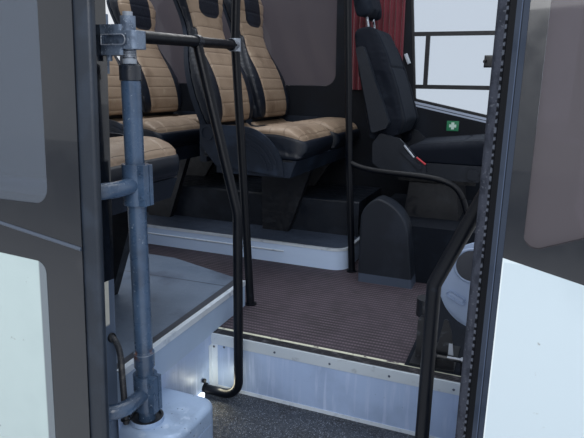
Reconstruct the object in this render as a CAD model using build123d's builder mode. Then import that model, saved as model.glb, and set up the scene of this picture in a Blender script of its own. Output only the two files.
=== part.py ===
"""Entrance section of a minibus: the doorway with its outward-swinging leaf, step well,
landing, platforms, grab rails, passenger seats and driver's seat, in millimetres.

X points to the front of the bus, Y across it from the doorway to the far side, Z up.
Places are measured from the landing's edge, at the rear end of the step. The finished pieces
are moved once, to the middle of the chassis bolt pattern under the rails."""
from build123d import *
import os
from math import cos, radians, sin, tan

os.makedirs("parts", exist_ok=True)

# Extent of the section
REAR_END = -1450.0
FRONT_END = 1250.0
BASE_Z = -260.0
HEADER_Z = 1650.0
CANTRAIL_HIGH = 100.0
SEAM = 0.3

# Body sides, which lean inwards as they rise
KERB_SKIN_Y = -579.0
FAR_SKIN_Y = 1675.0
SIDE_LEAN = 0.041
WALL = 60.0
FAR_WALL = 50.0
SILL_Z = -235.0

# Doorway
JAMB_REAR_X = 5.0
JAMB_FRONT_X = 925.0
POST_WIDE = 32.0
DOOR_SEAL_WIDE = 22.0
DOOR_SEAL_DEEP = 26.0

# Leaf
LEAF_WALL = 30.0
LEAF_GAP = 12.0
LEAF_SEAL_GAP = 8.0
LEAF_SEAL_WIDE = 42.0
LEAF_OUT = 140.0
LEAF_BACK = 767.0
LEAF_FOOT_Z = -230.0
LEAF_BORDER = 107.0
LEAF_WINDOW_Z = 606.0
LEAF_PANEL_TOP_Z = 470.0
LEAF_PANEL_RISE = 0.04
PANE = 6.0

# Door column and its bent arms
COLUMN_X = 68.0
COLUMN_Y = -475.0
COLUMN_R = 24.0
COLUMN_TOP_Z = 880.0
PIN_R = 12.0
ARM_R = 20.0
ARM_BEND_R = 62.0
ARM_LEAD_X = 12.0
LOW_ARM_Z = 42.0
MIDDLE_ARM_Z = 625.0
CLAMP_R = 33.0
CLAMP_HIGH = 104.0
ARM_EYE_R = 26.0
LEAF_PIN_R = 9.0
RUNNING_GAP = 0.3

# Floor, landing and step well
DECK_THICK = 26.0
MAT_THICK = 4.0
SHEET = 3.0
STEP_RISE = 212.0
WELL_OUT_Y = -536.0
WELL_REAR_SKEW = 17.0
WELL_FRONT_X = 905.0
NOSING_DEEP = 50.0
NOSING_DROP = 38.0
MAT_END_X = 686.0

# Kerb-side platform behind the step
PLATFORM_Z = 105.0
PLATFORM_IN_Y = 284.0
PLATFORM_BACK_Y = 424.0
PLATFORM_TURN_X = -437.0
PLATFORM_NOSE_X = -90.0

# Far-side podium, its second step and the driver's podium
PODIUM_Y = 862.0
PODIUM_Z = 105.0
PODIUM_END_X = 235.0
PODIUM_CORNER_R = 80.0
DUCT_Y = 1135.0
DUCT_Z = 290.0
CAB_FLOOR_Z = 262.0
CAB_FLOOR_X = 300.0

# Grab rails
RAIL_R = 16.0
STANCHION_Y = 306.0
FRONT_RAIL_Y = -60.0
FRONT_RAIL_X = 140.0
ENTRY_RAIL_Y = -440.0
ENTRY_RAIL_X = 822.0
CAB_RAIL_Y = 884.0
CROSS_RAIL_Z = 986.0

# Passenger seats
SEAT_WIDE = 440.0
SEAT_GAP = 40.0
SINGLE_WIDE = 440.0
SEAT_PITCH = 750.0
SEAT_DEEP = 460.0
CUSHION_TOP_Z = 684.0
CUSHION_SLOPE = 28.0
PAN_Z = 540.0
SKIRT_Z = 470.0
BACK_THICK = 52.0
BACK_HIGH = 770.0
BACK_LEAN = 16.0
PAIR_FAR_Y = 1575.0
PAIR_FRONT_X = 95.0
SINGLE_FRONT_X = -125.0
SINGLE_AISLE_Y = 60.0

# Driver's seat
DRIVER_Y = 1010.0
DRIVER_WIDE = 470.0
DRIVER_CUSHION_Z = 640.0
DRIVER_LEAN = 11.0

# From the section's own places to the chassis bolt pattern
RAIL_MIDDLE_Y = 530.0
RAIL_SPACING = 800.0
TO_CHASSIS = Location((0, -RAIL_MIDDLE_Y, -BASE_Z))

kerb_side = Plane(origin=(0, KERB_SKIN_Y, 0), x_dir=(1, 0, 0), z_dir=(0, -1, SIDE_LEAN))
far_side = Plane(origin=(0, FAR_SKIN_Y, 0), x_dir=(-1, 0, 0), z_dir=(0, 1, SIDE_LEAN))
leaf_side = Plane(origin=(0, KERB_SKIN_Y - LEAF_OUT, 0), x_dir=(1, 0, 0), z_dir=(0, -1, SIDE_LEAN))


def kerb_y(z, depth=0.0):
    """Y of the kerb-side wall at a height, a depth in from its skin."""
    return KERB_SKIN_Y + SIDE_LEAN * z + depth


def far_y(z, depth=0.0):
    """Y of the far wall at a height, a depth in from its skin."""
    return FAR_SKIN_Y - SIDE_LEAN * z - depth


def keep(piece, name):
    """Label a finished piece, move it to the chassis frame and write it."""
    solid = piece.part.moved(TO_CHASSIS)
    solid.label = name
    export_step(solid, f"parts/{name}.step")


def bent_bar(points, bend, radius):
    """A round bar along straight runs, with one bend radius at every turn."""
    with BuildPart() as bar:
        with BuildLine() as path:
            FilletPolyline(*points, radius=bend)
        with BuildSketch(Plane(origin=path.line @ 0, z_dir=path.line % 0)):
            Circle(radius)
        sweep(path=path.line)
    return bar.part


def hollow_box(plan, foot, top, wall):
    """A platform on a plan: open below, its top and sides one wall thick."""
    with BuildPart() as box:
        with BuildSketch(Plane.XY.offset(foot)):
            add(plan)
        extrude(amount=top - foot)
        with BuildSketch(Plane.XY.offset(foot)):
            offset(plan, amount=-wall, kind=Kind.INTERSECTION)
        extrude(amount=top - foot - wall, mode=Mode.SUBTRACT)
    return box


def across(y):
    """The upright plane across the bus at a place, drawn with X and Z, growing to the far side."""
    return Plane(origin=(0, y, 0), x_dir=(-1, 0, 0), z_dir=(0, 1, 0))


# Leaf and column geometry: the leaf stays parallel while the arms carry it round
LEAF_CLOSED_X = JAMB_FRONT_X - DOOR_SEAL_WIDE - LEAF_SEAL_GAP
LEAF_FRONT_X = LEAF_CLOSED_X - LEAF_BACK
LEAF_WIDE = LEAF_CLOSED_X - JAMB_REAR_X - LEAF_GAP
LEAF_REAR_X = LEAF_FRONT_X - LEAF_WIDE
LEAF_TOP_Z = HEADER_Z - 10.0
PIVOT_Y = COLUMN_Y - LEAF_OUT
PIVOT_X = COLUMN_X + (LEAF_OUT ** 2 - LEAF_BACK ** 2) / (2 * LEAF_BACK)

# Underframe: two chassis rails and cross-members
RAIL_WIDE = 60.0
RAIL_HIGH = 120.0
MEMBER_WIDE = 50.0
RAIL_HOLE_R = 8.0
HOLE_X = 900.0
MEMBER_PLACES = (-1425.0, -650.0, -40.0, 950.0, 1225.0)
rail_top = BASE_Z + RAIL_HIGH
deck_foot = -MAT_THICK - DECK_THICK
with BuildPart() as underframe:
    for side in (-1, 1):
        with BuildSketch(Plane.YZ.offset(REAR_END)):
            with Locations((RAIL_MIDDLE_Y + side * RAIL_SPACING / 2, BASE_Z + RAIL_HIGH / 2)):
                Rectangle(RAIL_WIDE, RAIL_HIGH)
                Rectangle(RAIL_WIDE - 12, RAIL_HIGH - 12, mode=Mode.SUBTRACT)
        extrude(amount=FRONT_END - REAR_END)
    for member_x in MEMBER_PLACES:
        out_y = kerb_y(deck_foot, WALL + SEAM)
        in_y = far_y(deck_foot, FAR_WALL + SEAM)
        with BuildSketch(Plane.XY.offset(rail_top)):
            with Locations((member_x, (out_y + in_y) / 2)):
                Rectangle(MEMBER_WIDE, in_y - out_y)
        extrude(amount=deck_foot - rail_top)
    with Locations((0, RAIL_MIDDLE_Y, BASE_Z)):
        with GridLocations(2 * HOLE_X, RAIL_SPACING, 2, 2):
            Cylinder(RAIL_HOLE_R, 16, mode=Mode.SUBTRACT)
keep(underframe, "underframe")

# Plans that several pieces share
well_slope = WELL_REAR_SKEW / WELL_OUT_Y
kerb_floor_y = kerb_y(-MAT_THICK, WALL + SEAM)
far_floor_y = far_y(-MAT_THICK, FAR_WALL + SEAM)
platform_out_y = kerb_y(PLATFORM_Z, WALL + SEAM)
podium_far_y = far_y(PODIUM_Z, FAR_WALL + SEAM)
cab_far_y = far_y(CAB_FLOOR_Z, FAR_WALL + SEAM)


def edge_x(y):
    """X of the step well's rear wall, and of the platform above it, at a place across."""
    return well_slope * y


with BuildSketch() as well_plan:
    with BuildLine():
        Polyline((0, 0), (WELL_FRONT_X, 0), (WELL_FRONT_X, WELL_OUT_Y), (WELL_REAR_SKEW, WELL_OUT_Y),
                 close=True)
    make_face()
with BuildSketch() as platform_plan:
    with BuildLine():
        Polyline(
            (edge_x(platform_out_y), platform_out_y),
            (edge_x(PLATFORM_IN_Y), PLATFORM_IN_Y),
            (PLATFORM_NOSE_X, PLATFORM_IN_Y + 26),
            (PLATFORM_TURN_X, PLATFORM_BACK_Y),
            (REAR_END, PLATFORM_BACK_Y),
            (REAR_END, platform_out_y),
            close=True,
        )
    make_face()
with BuildSketch() as podium_plan:
    with BuildLine():
        Line((PODIUM_END_X, podium_far_y), (PODIUM_END_X, PODIUM_Y + PODIUM_CORNER_R))
        CenterArc((PODIUM_END_X - PODIUM_CORNER_R, PODIUM_Y + PODIUM_CORNER_R), PODIUM_CORNER_R, 0, -90)
        Polyline((PODIUM_END_X - PODIUM_CORNER_R, PODIUM_Y), (REAR_END, PODIUM_Y),
                 (REAR_END, podium_far_y),
                 (PODIUM_END_X, podium_far_y))
    make_face()
with BuildSketch() as cab_plan:
    with Locations(((CAB_FLOOR_X + FRONT_END) / 2, (PODIUM_Y + cab_far_y) / 2)):
        Rectangle(FRONT_END - CAB_FLOOR_X, cab_far_y - PODIUM_Y)

# Floor deck, cut away round the step well
with BuildPart() as floor_deck:
    with BuildSketch(Plane.XY.offset(deck_foot)):
        with Locations(((REAR_END + FRONT_END) / 2, (kerb_floor_y + far_floor_y) / 2)):
            Rectangle(FRONT_END - REAR_END, far_floor_y - kerb_floor_y)
        offset(well_plan.sketch, amount=SHEET + SEAM, kind=Kind.INTERSECTION, mode=Mode.SUBTRACT)
        with Locations(((WELL_REAR_SKEW + WELL_FRONT_X) / 2, WELL_OUT_Y)):
            Rectangle(WELL_FRONT_X - WELL_REAR_SKEW, 60, mode=Mode.SUBTRACT)
    extrude(amount=DECK_THICK)
keep(floor_deck, "floor_deck")

# Step well: a sheet tray open to the doorway, on a sill beam
tray_z = -STEP_RISE - MAT_THICK
with BuildPart() as step_well:
    with BuildSketch(Plane.XY.offset(tray_z - SHEET)):
        offset(well_plan.sketch, amount=SHEET, kind=Kind.INTERSECTION)
    extrude(amount=-MAT_THICK - tray_z + SHEET)
    with BuildSketch(Plane.XY.offset(tray_z)):
        add(well_plan.sketch)
    extrude(amount=-tray_z, mode=Mode.SUBTRACT)
    with BuildSketch(Plane.XY.offset(tray_z)):
        with Locations(((WELL_REAR_SKEW + WELL_FRONT_X) / 2, WELL_OUT_Y)):
            Rectangle(WELL_FRONT_X + 60, 2 * SHEET)
    extrude(amount=-tray_z, mode=Mode.SUBTRACT)
    with BuildSketch(Plane.XY.offset(SILL_Z)):
        with Locations(((WELL_REAR_SKEW + WELL_FRONT_X) / 2, WELL_OUT_Y + 20)):
            Rectangle(WELL_FRONT_X - WELL_REAR_SKEW, 40)
    extrude(amount=tray_z - SHEET - SILL_Z)
keep(step_well, "step_well")

# Bearing box in the well's outer rear corner, with the cup that the column turns in
BOX_IN_Y = -296.0
BOX_FRONT_X = 195.0
BOX_TOP_Z = -50.0
BOX_CORNER_R = 48.0
BOX_SEAM_Z = -112.0
CUP_R = 47.0
CUP_HIGH = 14.0
COLUMN_FOOT_Z = -86.0
with BuildPart() as bearing_box:
    with BuildSketch(Plane.XY.offset(tray_z)):
        with BuildLine():
            Polyline((edge_x(BOX_IN_Y), BOX_IN_Y), (BOX_FRONT_X, BOX_IN_Y),
                     (BOX_FRONT_X, WELL_OUT_Y + SHEET),
                     (edge_x(WELL_OUT_Y + SHEET), WELL_OUT_Y + SHEET), close=True)
        make_face()
        fillet(vertices().group_by(Axis.X)[-1], BOX_CORNER_R)
    extrude(amount=BOX_TOP_Z - tray_z)
    fillet(faces().sort_by(Axis.Z)[-1].edges().sort_by(Axis.X)[1:], 20)
    with BuildSketch(Plane.XY.offset(BOX_SEAM_Z)):
        with Locations(((edge_x(BOX_IN_Y) + BOX_FRONT_X) / 2 + 4, (BOX_IN_Y + WELL_OUT_Y) / 2)):
            Rectangle(BOX_FRONT_X + 40, WELL_OUT_Y - BOX_IN_Y)
            RectangleRounded(BOX_FRONT_X - 20, BOX_IN_Y - WELL_OUT_Y - 10, BOX_CORNER_R - 6,
                             mode=Mode.SUBTRACT)
    extrude(amount=4, mode=Mode.SUBTRACT)
    with Locations((COLUMN_X, COLUMN_Y, BOX_TOP_Z + CUP_HIGH / 2)):
        Cylinder(CUP_R, CUP_HIGH)
    with Locations((COLUMN_X, COLUMN_Y, BOX_TOP_Z + CUP_HIGH)):
        Cylinder(CUP_R - 7, 16, mode=Mode.SUBTRACT)
    with Locations((COLUMN_X, COLUMN_Y, COLUMN_FOOT_Z)):
        Cylinder(COLUMN_R + RUNNING_GAP, 80, align=(Align.CENTER, Align.CENTER, Align.MIN),
                 mode=Mode.SUBTRACT)
keep(bearing_box, "bearing_box")

# Anti-slip tread on the tray's floor, cut round the bearing box
with BuildPart() as step_tread:
    with BuildSketch(Plane.XY.offset(tray_z)):
        offset(well_plan.sketch, amount=-SEAM, kind=Kind.INTERSECTION)
        with Locations((BOX_FRONT_X / 2, (BOX_IN_Y + WELL_OUT_Y) / 2)):
            Rectangle(BOX_FRONT_X + 2 * SEAM, BOX_IN_Y - WELL_OUT_Y + 2 * SEAM, mode=Mode.SUBTRACT)
        with Locations((WELL_FRONT_X / 2, WELL_OUT_Y)):
            Rectangle(WELL_FRONT_X + 60, 2 * SHEET, mode=Mode.SUBTRACT)
    extrude(amount=MAT_THICK)
keep(step_tread, "step_tread")

# Grooved nosing that caps the riser and the landing's edge
GROOVE = 5.0
with BuildPart() as landing_nosing:
    with BuildSketch(Plane.YZ.offset(SEAM)):
        with BuildLine():
            Polyline((-SHEET, -NOSING_DROP), (0, -NOSING_DROP), (0, -MAT_THICK),
                     (NOSING_DEEP, -MAT_THICK),
                     (NOSING_DEEP, 0), (-SHEET, 0), close=True)
        make_face()
        with Locations(*[(16 + 2 * GROOVE * index, -GROOVE / 8) for index in range(3)]):
            Rectangle(GROOVE, GROOVE / 4, mode=Mode.SUBTRACT)
    extrude(amount=WELL_FRONT_X - 2 * SEAM)
keep(landing_nosing, "landing_nosing")

# Side platform, far-side podium and the driver's podium
PLATFORM_WALL = 15.0
side_platform = hollow_box(platform_plan.sketch, -MAT_THICK, PLATFORM_Z, PLATFORM_WALL)
keep(side_platform, "side_platform")
podium = hollow_box(podium_plan.sketch, -MAT_THICK, PODIUM_Z, PLATFORM_WALL)
keep(podium, "podium")
cab_podium = hollow_box(cab_plan.sketch, -MAT_THICK, CAB_FLOOR_Z, PLATFORM_WALL)
keep(cab_podium, "cab_podium")

# Second step of the podium, the duct that the seats' inner feet stand on
duct_in_y = far_y(DUCT_Z, FAR_WALL + SEAM + 8)
with BuildPart() as seat_duct:
    with BuildSketch(Plane.YZ.offset(REAR_END)):
        with Locations(((DUCT_Y + duct_in_y) / 2, (PODIUM_Z + DUCT_Z) / 2)):
            Rectangle(duct_in_y - DUCT_Y, DUCT_Z - PODIUM_Z)
        fillet(vertices().group_by(Axis.X)[0].sort_by(Axis.Y)[-1], 12)
    extrude(amount=PODIUM_END_X - REAR_END - 20)
keep(seat_duct, "seat_duct")

# Thin angles in the well: foot of the riser, upright corner and foot of the side wall
ANGLE = 24.0
ANGLE_THICK = 2.0
tread_z = -STEP_RISE
with BuildPart() as step_angles:
    with BuildSketch(Plane.XY.offset(tread_z)):
        with Locations((WELL_FRONT_X / 2, -ANGLE_THICK / 2)):
            Rectangle(WELL_FRONT_X - 2 * SEAM, ANGLE_THICK - 2 * SEAM)
    extrude(amount=14)
    with BuildSketch(Plane.XY.offset(tread_z)):
        with Locations((ANGLE / 2 + SEAM, -ANGLE_THICK / 2)):
            Rectangle(ANGLE, ANGLE_THICK - 2 * SEAM)
        with BuildLine():
            Polyline((SEAM, -SEAM), (edge_x(-ANGLE) + SEAM, -ANGLE),
                     (edge_x(-ANGLE) + ANGLE_THICK, -ANGLE),
                     (ANGLE_THICK, -SEAM), close=True)
        make_face()
    extrude(amount=-tread_z - NOSING_DROP - 1)

# Bright trims: edge of the side platform, nosing round the podium and the bar along its riser
trim_out_y = platform_out_y + 2
PODIUM_TRIM = 3.0
BAR_END_X = -86.0
with BuildPart() as floor_trims:
    add(step_angles.part)
    with BuildSketch(Plane.XY.offset(PLATFORM_Z)):
        with BuildLine():
            Polyline((edge_x(trim_out_y) + SEAM, trim_out_y),
                     (edge_x(PLATFORM_IN_Y) + SEAM, PLATFORM_IN_Y),
                     (edge_x(PLATFORM_IN_Y) - 16, PLATFORM_IN_Y),
                     (edge_x(trim_out_y) - 16, trim_out_y), close=True)
        make_face()
    extrude(amount=2)
    with BuildSketch(Plane.XY.offset(PLATFORM_Z - 18)):
        with BuildLine():
            Polyline((edge_x(trim_out_y) + SEAM, trim_out_y),
                     (edge_x(PLATFORM_IN_Y) + SEAM, PLATFORM_IN_Y),
                     (edge_x(PLATFORM_IN_Y) + 2, PLATFORM_IN_Y), (edge_x(trim_out_y) + 2, trim_out_y),
                     close=True)
        make_face()
    extrude(amount=20)
    with BuildSketch(Plane.XY.offset(PODIUM_Z - 10)):
        offset(podium_plan.sketch, amount=PODIUM_TRIM + SEAM, kind=Kind.INTERSECTION)
        offset(podium_plan.sketch, amount=SEAM, kind=Kind.INTERSECTION, mode=Mode.SUBTRACT)
        with Locations(((REAR_END + PODIUM_END_X) / 2, far_floor_y)):
            Rectangle(PODIUM_END_X - REAR_END + 40, 200, mode=Mode.SUBTRACT)
        with Locations((REAR_END - 20, PODIUM_Y + 400)):
            Rectangle(40, 1000, mode=Mode.SUBTRACT)
    extrude(amount=12)
    with BuildSketch(Plane.XY.offset(PODIUM_Z)):
        offset(podium_plan.sketch, amount=PODIUM_TRIM + SEAM, kind=Kind.INTERSECTION)
        offset(podium_plan.sketch, amount=-12, kind=Kind.INTERSECTION, mode=Mode.SUBTRACT)
        with Locations(((REAR_END + PODIUM_END_X) / 2, far_floor_y)):
            Rectangle(PODIUM_END_X - REAR_END + 40, 200, mode=Mode.SUBTRACT)
        with Locations((REAR_END, PODIUM_Y + 400)):
            Rectangle(40, 1000, mode=Mode.SUBTRACT)
    extrude(amount=2)
    with BuildSketch(Plane.YZ.offset(REAR_END)):
        with Locations((PODIUM_Y, 62)):
            Circle(5)
        with Locations((PODIUM_Y + 10, 62)):
            Rectangle(20, 20, mode=Mode.SUBTRACT)
    extrude(amount=BAR_END_X - REAR_END)
keep(floor_trims, "floor_trims")

# Entrance locker with its arched top, against the cab podium
LOCKER_FRONT_Y = 760.0
LOCKER_REAR_X = 327.0
LOCKER_END_X = 575.0
with BuildPart() as locker:
    with BuildSketch(Plane.XZ.offset(-(PODIUM_Y - SEAM))):
        with BuildLine():
            Line((LOCKER_END_X, -MAT_THICK), (LOCKER_REAR_X, -MAT_THICK))
            Line((LOCKER_REAR_X, -MAT_THICK), (LOCKER_REAR_X, 279))
            ThreePointArc((LOCKER_REAR_X, 279), (349, 356), (402, 393))
            ThreePointArc((402, 393), (487, 352), (543, 246))
            Line((543, 246), (LOCKER_END_X, -MAT_THICK))
        make_face()
    extrude(amount=PODIUM_Y - SEAM - LOCKER_FRONT_Y)
    fillet(faces().sort_by(Axis.Y)[0].edges().filter_by(lambda edge: edge.center().Z > 60), 9)
keep(locker, "locker")

# Ribbed mat over the landing and the aisle
with BuildPart() as floor_mat:
    with BuildSketch(Plane.XY.offset(-MAT_THICK)):
        with BuildLine():
            Polyline((REAR_END, PLATFORM_IN_Y), (PLATFORM_NOSE_X, PLATFORM_IN_Y),
                     (PLATFORM_NOSE_X, NOSING_DEEP + SEAM),
                     (MAT_END_X, NOSING_DEEP + SEAM), (MAT_END_X, PODIUM_Y - SEAM),
                     (CAB_FLOOR_X - SEAM, PODIUM_Y - SEAM),
                     (CAB_FLOOR_X - SEAM, 1100), (REAR_END, 1100), close=True)
        make_face()
        offset(platform_plan.sketch, amount=SEAM, kind=Kind.INTERSECTION, mode=Mode.SUBTRACT)
        offset(podium_plan.sketch, amount=SEAM, kind=Kind.INTERSECTION, mode=Mode.SUBTRACT)
        with Locations(((LOCKER_REAR_X + LOCKER_END_X) / 2, (LOCKER_FRONT_Y + PODIUM_Y) / 2)):
            Rectangle(LOCKER_END_X - LOCKER_REAR_X + 2 * SEAM, PODIUM_Y - LOCKER_FRONT_Y + 2 * SEAM,
                      mode=Mode.SUBTRACT)
    extrude(amount=MAT_THICK)
keep(floor_mat, "floor_mat")

# Grey floor sheet beside the mat, under the door gear
with BuildPart() as gear_sheet:
    with BuildSketch(Plane.XY.offset(-MAT_THICK)):
        with BuildLine():
            Polyline((MAT_END_X + SEAM, NOSING_DEEP + SEAM), (FRONT_END, NOSING_DEEP + SEAM),
                     (FRONT_END, PODIUM_Y - SEAM),
                     (MAT_END_X + SEAM, PODIUM_Y - SEAM), close=True)
        make_face()
    extrude(amount=MAT_THICK)
keep(gear_sheet, "gear_sheet")

# Body sides: white lower panels and dark window panels, split at the belt line
REAR_BELT_Z = 374.0
REAR_GLASS_Z = 640.0
GLASS_TOP_Z = 1520.0
GLASS_R = 60.0
FRONT_BELT_Z = 572.0
FRONT_BELT_FALL = 0.232
QUARTER_X = 989.0
QUARTER_Z = 584.0
QUARTER_RISE = 0.4
front_wall_x = JAMB_FRONT_X + POST_WIDE + SEAM
side_top = HEADER_Z + 12


def side_panel(plane, thick, outline):
    """A slab of body side inwards from its skin, trimmed level under the cantrail."""
    with BuildPart() as slab:
        with BuildSketch(plane):
            add(outline)
        extrude(amount=-thick)
        split(bisect_by=Plane.XY.offset(HEADER_Z), keep=Keep.BOTTOM)
    return slab


def rectangle_between(x_low, x_high, y_low, y_high):
    """A rectangle drawn from its four sides."""
    with BuildSketch() as shape:
        with Locations(((x_low + x_high) / 2, (y_low + y_high) / 2)):
            Rectangle(x_high - x_low, y_high - y_low)
    return shape.sketch


with BuildSketch() as rear_glass_outline:
    add(rectangle_between(REAR_END + 40, JAMB_REAR_X - 70, REAR_GLASS_Z, GLASS_TOP_Z))
    fillet(rear_glass_outline.vertices(), GLASS_R)
with BuildSketch() as rear_wall_outline:
    add(rectangle_between(REAR_END, JAMB_REAR_X, REAR_BELT_Z, side_top))
    add(rear_glass_outline.sketch, mode=Mode.SUBTRACT)
rear_panel_outline = rectangle_between(REAR_END, JAMB_REAR_X, SILL_Z, REAR_BELT_Z - SEAM)


def front_belt(x):
    """Height of the front corner's belt line, which falls to the front."""
    return FRONT_BELT_Z - FRONT_BELT_FALL * (x - front_wall_x)


with BuildSketch() as front_panel_outline:
    with BuildLine():
        Polyline((front_wall_x, SILL_Z), (FRONT_END, SILL_Z), (FRONT_END, front_belt(FRONT_END) - SEAM),
                 (front_wall_x, FRONT_BELT_Z - SEAM), close=True)
    make_face()
kerb_lower_panels = side_panel(kerb_side, WALL, rear_panel_outline + front_panel_outline.sketch)
keep(kerb_lower_panels, "kerb_lower_panels")
with BuildSketch() as quarter_outline:
    with BuildLine():
        Polyline((QUARTER_X, QUARTER_Z),
                 (FRONT_END - 50, QUARTER_Z + QUARTER_RISE * (FRONT_END - 50 - QUARTER_X)),
                 (FRONT_END - 50, GLASS_TOP_Z), (QUARTER_X, GLASS_TOP_Z), close=True)
    make_face()
    fillet(quarter_outline.vertices(), 24)
with BuildSketch() as front_wall_outline:
    with BuildLine():
        Polyline((front_wall_x, FRONT_BELT_Z), (FRONT_END, front_belt(FRONT_END)),
                 (FRONT_END, side_top),
                 (front_wall_x, side_top), close=True)
    make_face()
    add(quarter_outline.sketch, mode=Mode.SUBTRACT)
kerb_window_panels = side_panel(kerb_side, WALL, rear_wall_outline.sketch + front_wall_outline.sketch)
keep(kerb_window_panels, "kerb_window_panels")
front_door_post = side_panel(kerb_side, WALL,
                             rectangle_between(JAMB_FRONT_X, JAMB_FRONT_X + POST_WIDE, SILL_Z,
                                               side_top))
keep(front_door_post, "front_door_post")

# Rubber that the leaf's front edge closes on
SEAL_IN = 8.0
with BuildPart() as door_seal:
    with BuildSketch(kerb_side.offset(-SEAL_IN)):
        add(rectangle_between(JAMB_FRONT_X - DOOR_SEAL_WIDE, JAMB_FRONT_X - SEAM, SILL_Z, side_top))
    extrude(amount=-DOOR_SEAL_DEEP)
    fillet(door_seal.edges().filter_by(lambda edge: edge.length > 1000).sort_by(Axis.X)[:2], 9)
    split(bisect_by=Plane.XY.offset(HEADER_Z), keep=Keep.BOTTOM)
keep(door_seal, "door_seal")

# Far side with the passengers' window and the driver's window
PASSENGER_SILL_Z = 870.0
PASSENGER_END_X = -83.0
DRIVER_WINDOW_REAR_X = 372.0
DRIVER_WINDOW_TOP_X = 312.0
DRIVER_WINDOW_FRONT_X = 1180.0
DRIVER_SILL_Z = 800.0
DRIVER_SILL_FALL = 0.2
with BuildSketch() as passenger_outline:
    add(rectangle_between(-PASSENGER_END_X, -REAR_END - 40, PASSENGER_SILL_Z, GLASS_TOP_Z))
    fillet(passenger_outline.vertices(), 70)
with BuildSketch() as driver_outline:
    with BuildLine():
        Polyline(
            (-DRIVER_WINDOW_REAR_X, DRIVER_SILL_Z),
            (-DRIVER_WINDOW_TOP_X, GLASS_TOP_Z),
            (-DRIVER_WINDOW_FRONT_X, GLASS_TOP_Z),
            (-DRIVER_WINDOW_FRONT_X,
             DRIVER_SILL_Z - DRIVER_SILL_FALL * (DRIVER_WINDOW_FRONT_X - DRIVER_WINDOW_REAR_X)),
            close=True,
        )
    make_face()
    fillet(driver_outline.vertices(), 22)
with BuildSketch() as far_outline:
    add(rectangle_between(-FRONT_END, -REAR_END, SILL_Z, side_top))
    add(passenger_outline.sketch, mode=Mode.SUBTRACT)
    add(driver_outline.sketch, mode=Mode.SUBTRACT)
far_wall = side_panel(far_side, FAR_WALL, far_outline.sketch)
keep(far_wall, "far_wall")
GLASS_DEEP = 10.0
# Columns: side, outline of the opening
WINDOWS = (
    (kerb_side, rear_glass_outline),
    (kerb_side, quarter_outline),
    (far_side, passenger_outline),
    (far_side, driver_outline),
)
with BuildPart() as side_glass:
    for plane, outline in WINDOWS:
        with BuildSketch(plane.offset(-GLASS_DEEP)):
            offset(outline.sketch, amount=-SEAM)
        extrude(amount=-PANE)
keep(side_glass, "side_glass")

# Black rails of the driver's sliding vent, inside the glass
WINDOW_RAIL = 22.0
WINDOW_RAIL_DEEP = 20.0
VENT_TOP_Z = 1153.0
VENT_LOW_Z = 875.0
VENT_DIVIDER_X = 430.0
VENT_FRONT_X = 800.0
half_rail = WINDOW_RAIL / 2
with BuildSketch() as vent_bars:
    for rail_z in (VENT_TOP_Z, VENT_LOW_Z):
        add(rectangle_between(-VENT_FRONT_X - half_rail, -DRIVER_WINDOW_TOP_X, rail_z - half_rail,
                              rail_z + half_rail))
    for bar_x in (VENT_DIVIDER_X, VENT_FRONT_X):
        add(rectangle_between(-bar_x - half_rail, -bar_x + half_rail, VENT_LOW_Z, VENT_TOP_Z))
    add(rectangle_between(-VENT_FRONT_X - half_rail, -VENT_FRONT_X + half_rail, VENT_TOP_Z,
                          GLASS_TOP_Z - 4))
    offset(driver_outline.sketch, amount=-SEAM, mode=Mode.INTERSECT)
with BuildPart() as driver_window_frame:
    with BuildSketch(far_side.offset(-GLASS_DEEP - PANE - SEAM)):
        offset(driver_outline.sketch, amount=-SEAM)
        offset(driver_outline.sketch, amount=-12, mode=Mode.SUBTRACT)
        add(vent_bars.sketch)
    extrude(amount=-WINDOW_RAIL_DEEP)
keep(driver_window_frame, "driver_window_frame")

# Roof frame: cantrails on both sides and bows across
BOW_WIDE = 60.0
BOW_HIGH = 40.0
BOW_PLACES = (-1410.0, -52.0, 170.0, 1210.0)
with BuildPart() as roof_frame:
    for low_y, high_y in (
        (kerb_y(HEADER_Z), kerb_y(HEADER_Z, WALL)),
        (far_y(HEADER_Z, FAR_WALL), far_y(HEADER_Z)),
    ):
        with BuildSketch(Plane.YZ.offset(REAR_END)):
            add(rectangle_between(low_y, high_y, HEADER_Z, HEADER_Z + CANTRAIL_HIGH))
            fillet(vertices().group_by(Axis.Y)[-1], 14)
            add(rectangle_between(low_y + 8, high_y - 8, HEADER_Z + 8, HEADER_Z + CANTRAIL_HIGH - 8),
                mode=Mode.SUBTRACT)
        extrude(amount=FRONT_END - REAR_END)
    for bow_x in BOW_PLACES:
        with BuildSketch(Plane.XY.offset(HEADER_Z)):
            add(rectangle_between(bow_x - BOW_WIDE / 2, bow_x + BOW_WIDE / 2,
                                  kerb_y(HEADER_Z, WALL) - 4,
                                  far_y(HEADER_Z, FAR_WALL) + 4))
        extrude(amount=BOW_HIGH)
keep(roof_frame, "roof_frame")

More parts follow.
